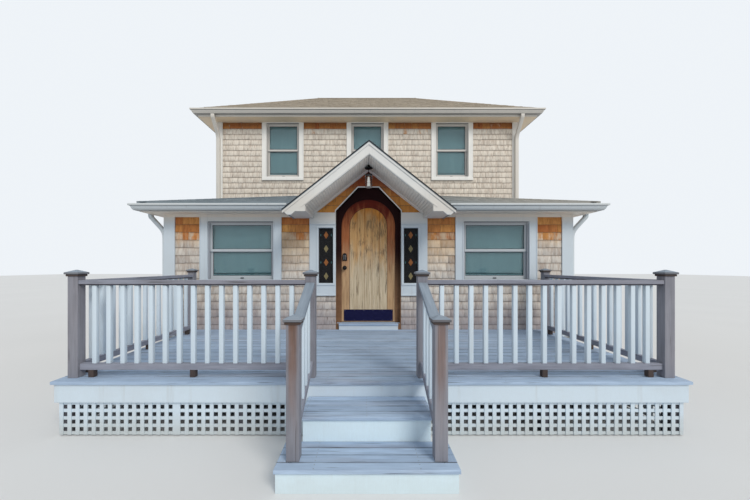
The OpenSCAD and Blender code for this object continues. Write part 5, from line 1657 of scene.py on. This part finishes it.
lantern_low, lantern_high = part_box("entry_lantern")
lantern_x = (lantern_low.x + lantern_high.x) / 2
lantern_y = (lantern_low.y + lantern_high.y) / 2
lantern_top = porch_ridge_z - porch_t - 0.13
base_z = lantern_top - 0.225
glass_r = 0.053
centre = (lantern_x, lantern_y, 0)
canopy_z = lantern_high.z - 0.068
metal = [
    turned([(0, canopy_z - 0.012), (0.03, canopy_z - 0.010), (0.053, canopy_z - 0.002),
            (0.062, canopy_z + 0.008), (0.062, canopy_z + 0.012), (0.030, canopy_z + 0.030),
            (0, canopy_z + 0.060)], centre, 40),
    turned([(0.0045, lantern_top - 0.004), (0.0045, canopy_z)], centre, 12),
    turned([(0, lantern_top + 0.002), (0.012, lantern_top), (0.018, lantern_top - 0.010),
            (0.053, lantern_top - 0.022), (0.062, lantern_top - 0.026), (0.062, lantern_top - 0.030),
            (0.0, lantern_top - 0.028)], centre, 40),
]
finial = turned([(0, 0.014), (0.008, 0.013), (0.0075, 0.008), (0.004, 0.004), (0.004, -0.004), (0, -0.004)],
                (lantern_x, lantern_y, lantern_top), 16)
metal.append(finial)
for turn in (45, 135, 225, 315):
    wire = board((glass_r + 0.0015, -0.0025, base_z + 0.006), (glass_r + 0.005, 0.0025, lantern_top - 0.024),
                 0.0008, 1)
    wire.data.transform(Matrix.Translation(centre) @ turned_by(turn, "Z"))
    metal.append(wire)
for z in (base_z + 0.060, lantern_top - 0.075):
    bpy.ops.mesh.primitive_torus_add(location=(lantern_x, lantern_y, z), major_radius=glass_r + 0.0035,
                                     minor_radius=0.0018, major_segments=40, minor_segments=8)
    hoop = settle(bpy.context.object, "hoop")
    metal.append(run_figure(hoop))
base = turned([(0, base_z), (0.044, base_z), (0.058, base_z + 0.004), (0.058, base_z + 0.010),
               (0.050, base_z + 0.014), (0, base_z + 0.014)], centre, 40)
house("lantern_metalwork", metal, "black_metal", black_metal, "entry_lantern")
dress(base, "house", "black_metal", pewter)
base.name = "lantern_base"
glass_top = lantern_top - 0.030
shell = turned([(glass_r, base_z + 0.014), (glass_r, glass_top), (glass_r - 0.003, glass_top),
                (glass_r - 0.003, base_z + 0.014), (glass_r, base_z + 0.014)], centre, 48)
dress(shell, "house", "lantern_glass", lantern_clear, "lantern_glass")
shell.name = "lantern_cylinder"
candle = turned([(0, base_z + 0.0145), (0.025, base_z + 0.0145), (0.0255, base_z + 0.020),
                 (0.023, base_z + 0.070), (0.019, base_z + 0.120), (0.0135, base_z + 0.160),
                 (0.012, base_z + 0.166), (0, base_z + 0.167)], centre)
dress(candle, "house", "white_trim", glowing_wax)
candle.name = "lantern_candle"


# The deck

boards = []
for index in range(board_n):
    y = deck_low.y + index * (board_w + board_gap)
    boards.append(board((deck_low.x, y, deck_low.z), (deck_high.x, y + board_w, deck_high.z), 0.004))
house("deck_planking", boards, "weathered_wood", skylit_deck_wood, "deck_boards")

board_t = deck_high.z - deck_low.z
landing_top = steps_low.z + board_t
tread_top = steps_high.z
landing_half = (steps_high.x - steps_low.x) / 2
landing_y0 = steps_low.y


def tread_boards(half, y0, y1, top, count):
    wide = (y1 - y0 - (count - 1) * step_gap) / count
    return [board((steps_x - half, y0 + index * (wide + step_gap), top - board_t),
                  (steps_x + half, y0 + index * (wide + step_gap) + wide, top), 0.004)
            for index in range(count)]


landing_y1 = tread_y0 + 0.020
landing_wide = (landing_y1 - landing_y0 - (tread_n - 1) * step_gap) / tread_n
second_y = landing_y0 + landing_wide + step_gap
treads = tread_boards(landing_half, landing_y0, landing_y0 + landing_wide, landing_top, 1)
treads += tread_boards(landing_half - landing_wide - step_gap, second_y, landing_y1, landing_top,
                       tread_n - 1)
for side in (-1, 1):
    treads.append(board((steps_x + side * (landing_half - landing_wide), second_y, landing_top - board_t),
                        (steps_x + side * landing_half, landing_y1, landing_top), 0.004))
treads += tread_boards(flight_half, tread_y0, steps_high.y, tread_top, tread_n)
house("step_planking", treads, "weathered_wood", skylit_deck_wood, "step_treads")

screw = turned([(0.0, 0.0006), (0.0036, 0.0004), (0.0040, -0.0010), (0, -0.0010)], (0, 0, 0), 10)
places = []
for index in range(board_n):
    y = deck_low.y + index * (board_w + board_gap)
    for x in np.linspace(deck_low.x + 0.06, deck_high.x - 0.06, 15):
        for dy in (0.025, board_w - 0.025):
            places.append(move_by(float(x) + chance.uniform(-0.003, 0.003),
                                  y + dy + chance.uniform(-0.002, 0.002), deck_top))
for index in range(tread_n):
    y = tread_y0 + index * (steps_high.y - tread_y0 + step_gap) / tread_n
    for x in (-0.485, 0.0, 0.485):
        places += [move_by(steps_x + x, y + 0.022, tread_top), move_by(steps_x + x, y + 0.074, tread_top)]
    y = landing_y0 + index * (landing_wide + step_gap)
    for x in (-0.36, 0.36):
        places += [move_by(steps_x + x, y + 0.020, landing_top), move_by(steps_x + x, y + 0.066, landing_top)]
dress(repeat("deck_screws", screw, places), "house", "weathered_wood", screw_metal)

frame_low, frame_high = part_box("deck_fascia")
skirt = [board(frame_low, (frame_high.x, frame_low.y + trim_t, frame_high.z), 0.004)]
for side in (-1, 1):
    skirt.append(board((side * frame_high.x, frame_low.y + trim_t + 0.0005, frame_low.z),
                       (side * (frame_high.x - trim_t), frame_high.y, frame_high.z), 0.004))
house("deck_skirt_boards", skirt, "white_trim", white, "deck_fascia")


# Posts, rails and balusters

post_w = 0.092
posts_low, posts_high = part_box("railing_posts")
cap_half = post_w / 2 + 0.020
post_x = posts_high.x - cap_half
post_line = deck_low.y + 0.145
rear_post_y = posts_high.y - cap_half
lower_post_y = posts_low.y + cap_half
post_h = 0.950


def stair_x(side):
    return steps_x + side * flight_half


def post(x, y, foot, high):
    """A square post with a collar moulding under a pyramid cap"""
    half = post_w / 2
    shaft = board((x - half, y - half, foot), (x + half, y + half, foot + high), 0.004, 2)
    collar = board((x - half - 0.010, y - half - 0.010, foot + high - 0.020),
                   (x + half + 0.010, y + half + 0.010, foot + high - 0.001), 0.004, 3)
    wide = cap_half
    deselect()
    bpy.ops.mesh.primitive_cone_add(vertices=4, radius1=wide * math.sqrt(2), radius2=0.008, depth=0.024,
                                    location=(x, y, foot + high + 0.028), rotation=(0, 0, math.radians(45)))
    peak = settle(bpy.context.object, "peak")
    plate = board((x - wide, y - wide, foot + high - 0.001),
                  (x + wide, y + wide, foot + high + 0.0165), 0.004, 3)
    return [shaft], [collar], [plate], [run_figure(soften(peak, 0.002, 2, 20), Vector((1, 0, 0)))]


shafts, collars, plates, caps = [], [], [], []
spots = [(side * post_x, y, deck_top, post_h) for side in (-1, 1) for y in (post_line, rear_post_y)]
spots += [(stair_x(side), post_line, deck_top, post_h) for side in (-1, 1)]
spots += [(stair_x(side), lower_post_y, landing_top, post_h + 0.02) for side in (-1, 1)]
for spot in spots:
    for kept, new in zip((shafts, collars, plates, caps), post(*spot)):
        kept += new
house("post_shafts", shafts, "weathered_wood", post_wood, "railing_posts")
house("post_collars", collars, "weathered_wood", cap_wood)
house("post_plates", plates, "weathered_wood", plate_wood)
house("post_caps", caps, "weathered_wood", skylit_cap_wood)

rail_h = 0.895
top_rail = (0.080, rail_h - 0.037, rail_h)
under_rail = (0.056, rail_h - 0.048, rail_h - 0.0375)
low_rail = (0.050, 0.068, 0.126)
stair_lift = 0.050
stair_y0 = lower_post_y + post_w / 2
stair_y1 = post_line - post_w / 2
grade = (deck_top - landing_top) / (post_line - lower_post_y)


def stair_z(y):
    return deck_top - (post_line - y) * grade


def level_bar(x0, x1, y0, y1, z0, z1):
    return board((x0, y0, deck_top + z0), (x1, y1, deck_top + z1), 0.004, 3)


def sloped_bar(x, wide, z0, z1):
    corners = ((stair_y0, z0), (stair_y1, z0), (stair_y1, z1), (stair_y0, z1))
    spots = [(x - wide / 2, y, stair_z(y) + z) for y, z in corners]
    return run_figure(prism(spots, (wide, 0, 0), 0.004, 3), Vector((0, 1, grade)).normalized())


rails, sloped, shaded, blocks = [], [], [], []
side_y0 = post_line + post_w / 2
side_y1 = rear_post_y - post_w / 2
front_spans = {side: sorted((stair_x(side) + side * post_w / 2, side * (post_x - post_w / 2)))
               for side in (-1, 1)}
for side, (front_x0, front_x1) in front_spans.items():
    for wide, z0, z1 in (top_rail, under_rail, low_rail):
        kept = shaded if z0 == under_rail[1] else rails
        kept.append(level_bar(front_x0, front_x1, post_line - wide / 2, post_line + wide / 2, z0, z1))
        kept.append(level_bar(side * post_x - wide / 2, side * post_x + wide / 2, side_y0, side_y1, z0, z1))
        lift = stair_lift if z0 == low_rail[1] else 0
        slopes = sloped if z0 == top_rail[1] else kept
        slopes.append(sloped_bar(stair_x(side), wide, z0 + lift, z1 + lift))
    for part in (-0.45, 0, 0.45):
        x = (front_x0 + front_x1) / 2 + part * (front_x1 - front_x0)
        y = (side_y0 + side_y1) / 2 + part * (side_y1 - side_y0)
        for block_x, block_y in ((x, post_line), (side * post_x, y)):
            blocks.append(board((block_x - 0.025, block_y - 0.025, deck_top),
                                (block_x + 0.025, block_y + 0.025, deck_top + low_rail[1] + 0.0002)))
house("railing_bars", rails, "weathered_wood", rail_wood, "rails")
house("stair_rails", sloped, "weathered_wood", skylit_slope_wood)
house("rail_undersides", shaded, "weathered_wood", rail_shade)
house("railing_blocks", blocks, "weathered_wood", cap_wood)

bar_w = 0.040
bar_pitch = 0.134
bar_low = low_rail[2]
bar_high = under_rail[1]
places = []
for side in (-1, 1):
    for (start, end), across in ((front_spans[side], False), ((side_y0, side_y1), True)):
        count = round((end - start) / bar_pitch) - 1
        for index in range(count):
            at = start + (end - start) * (index + 1) / (count + 1)
            spot = move_by(side * post_x, at, deck_top) if across else move_by(at, post_line, deck_top)
            places.append(spot @ Matrix.Rotation(chance.uniform(-0.02, 0.02), 4, "Z"))
unit = board((-bar_w / 2, -bar_w / 2, bar_low), (bar_w / 2, bar_w / 2, bar_high), 0.003, 2)
level = repeat("level", unit, places)
half = bar_w / 2
slant_low = bar_low + stair_lift
slant = [(-half, -half * grade + slant_low), (half, half * grade + slant_low),
         (half, half * grade + bar_high), (-half, -half * grade + bar_high)]
unit = run_figure(prism([(-half, y, z) for y, z in slant], (bar_w, 0, 0), 0.003, 2), Vector((0, 0, 1)))
length = stair_y1 - stair_y0
count = round(length / bar_pitch) - 1
places = []
for side in (-1, 1):
    for index in range(count):
        y = stair_y0 + length * (index + 1) / (count + 1)
        places.append(move_by(stair_x(side), y, stair_z(y)))
bars = [level, repeat("slanted", unit, places)]
house("baluster_bars", bars, "white_trim", white, "balusters")


# Downspouts

spout_w = 0.076
spout_d = 0.058


def spout(wall_out, points):
    """A pipe of rounded square section along a path, with rounded elbows"""
    path = [Vector(points[0])]
    for before, corner, after in zip(points, points[1:], points[2:]):
        before, corner, after = Vector(before), Vector(corner), Vector(after)
        back = (before - corner).normalized()
        ahead = (after - corner).normalized()
        reach = min(0.10, (before - corner).length / 2.2, (after - corner).length / 2.2)
        for step in range(7):
            t = step / 6
            path.append(corner + back * reach * (1 - t) ** 2 + ahead * reach * t * t)
    path.append(Vector(points[-1]))
    pipe = trace([tuple(spot) for spot in path], False)
    leave_edit()
    pipe = settle(pipe, "pipe")
    outward(pipe)
    make_active(pipe)
    bpy.ops.object.convert(target="CURVE")
    deselect()
    bpy.ops.mesh.primitive_plane_add(size=1)
    shape = bpy.context.object
    shape.scale = (spout_w, spout_d, 1) if wall_out else (spout_d, spout_w, 1)
    settle(shape, "shape")
    edit_whole(shape)
    bpy.ops.mesh.bevel(offset=0.010, segments=3, affect="VERTICES")
    bpy.ops.mesh.delete(type="ONLY_FACE")
    leave_edit()
    bpy.ops.object.convert(target="CURVE")
    pipe.data.bevel_mode = "OBJECT"
    pipe.data.bevel_object = shape
    pipe.data.use_fill_caps = True
    make_active(pipe)
    bpy.ops.object.convert(target="MESH")
    bpy.data.objects.remove(shape)
    outward(pipe)
    bpy.ops.object.shade_smooth_by_angle(angle=math.radians(35))
    return pipe


spout_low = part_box("downspouts")[0]
spouts = []
for side in (-1, 1):
    x = side * (half_w - spout_w / 2 - 0.002)
    top = upper_soffit_z + upper_gutter_lift - 0.002
    out = main_y - main_over - 0.042
    near = main_y - trim_t - spout_d / 2 - 0.004
    roof = lower_soffit_z + eave_h + (lower_over + spout_w) * lower_slope + 0.028
    spouts.append(spout(True, [(x, out, top), (x, out, top - 0.050), (x, near, top - 0.365),
                               (x, near, roof)]))
    y = front_y + corner_w / 2
    top = lower_soffit_z + gutter_lift - 0.002
    out = half_w + lower_over + 0.042
    near = half_w + trim_t + spout_d / 2 + 0.004
    spouts.append(spout(False, [(side * out, y, top), (side * out, y, top - 0.045),
                                (side * near, y, top - 0.30), (side * near, y, spout_low.z + 0.002)]))
house("downspout_pipes", spouts, "white_metal", enamel_white, "downspouts")

# The shingles beside the deck, down to the foundation
for side, name in ((-1, "left"), (1, "right")):
    edges = sorted((side * (deck_half + 0.004), side * front_u))
    foot_shingles = shingle_wall("shingles_foot_" + name, walls["front"], *edges, foundation_top,
                                 deck_top - 0.02, (), -1.0)
    dress(foot_shingles, "house", wall_slot, shingle_wood)


# The CAD nodes that keep their own shape

for node, material in (
        ("foundation_front", shaded_footing), ("foundation_sides", footing), ("foundation_rear", footing),
        ("ground_floor", inner_floor), ("upper_floor", inner_floor), ("floor_beam", raw_timber),
        ("front_wall_left", wall_inside), ("front_wall_right", wall_inside),
        ("front_wall_over_door", wall_inside), ("front_side_walls", wall_inside),
        ("lower_side_walls", wall_inside), ("lower_rear_wall", wall_inside),
        ("upper_front_wall", wall_inside), ("upper_side_walls", wall_inside),
        ("upper_rear_wall", wall_inside), ("lower_roof_deck", raw_timber),
        ("main_roof_deck", raw_timber), ("porch_gable", white), ("lower_eaves", lower_eave_white),
        ("upper_eaves", upper_eave_white), ("gutters", enamel_white), ("corner_boards", white),
        ("window_glass", pane_glass), ("window_shades", shade_vinyl), ("door_frame", frame_wood),
        ("hinge_pins", black_metal), ("deck_frame", shaded_timber), ("deck_joists", shaded_timber),
        ("deck_piers", shaded_timber), ("front_lattice", white), ("side_lattice", white),
        ("step_carriage", skylit_riser_white)):
    repaint(node, material)


# The stage, the light and the camera

bpy.ops.mesh.primitive_plane_add(size=120, location=(0, 2.5, -0.0006))
ground = settle(bpy.context.object, "stage_floor")
floor_material, floor_place = new_material("pale floor")
faint = noise(floor_place, 0.4, 2, 0.5)
finish(floor_material, Base_Color=blend(faint, (0.70, 0.71, 0.72), (0.74, 0.75, 0.76)), Roughness=0.9)
ground.data.materials.append(floor_material)

world = bpy.data.worlds.new("studio")
bpy.context.scene.world = world
world.use_nodes = True
sky_nodes = world.node_tree.nodes
sky = sky_nodes["Background"]
backdrop = sky_nodes.new("ShaderNodeBackground")
rays = sky_nodes.new("ShaderNodeLightPath").outputs
camera_ray, glossy_ray, through_ray = [Field(rays["Is %s Ray" % kind])
                                       for kind in ("Camera", "Glossy", "Transmission")]
feed(sky.inputs["Strength"], 0.62)
feed(sky.inputs["Color"], (0.93, 0.97, 1.0))
feed(backdrop.inputs["Color"], (0.86, 0.90, 0.94))
seen = larger(camera_ray, larger(glossy_ray, through_ray))
shown = node_value("ShaderNodeMixShader", {0: seen, 1: Field(sky.outputs[0]), 2: Field(backdrop.outputs[0])})
feed(sky_nodes["World Output"].inputs["Surface"], shown)

lamp = bpy.data.lights.new("soft sun", "SUN")
lamp.energy = 1.7
lamp.angle = math.radians(24)
lamp.color = (1.0, 0.95, 0.87)
soft_sun = new_object("soft sun", lamp)
soft_sun.rotation_euler = (math.radians(52), 0, math.radians(32))

lens = bpy.data.cameras.new("camera")
lens.lens = 16.08
lens.sensor_width = 36
lens.shift_x = 0.0137
lens.shift_y = 0.022
lens.clip_end = 300
camera = new_object("camera", lens)
camera.location = (-0.06, -5.51, 1.52)
camera.rotation_euler = (math.radians(90), 0, 0)
bpy.context.scene.camera = camera
bpy.context.scene.view_settings.view_transform = "Standard"
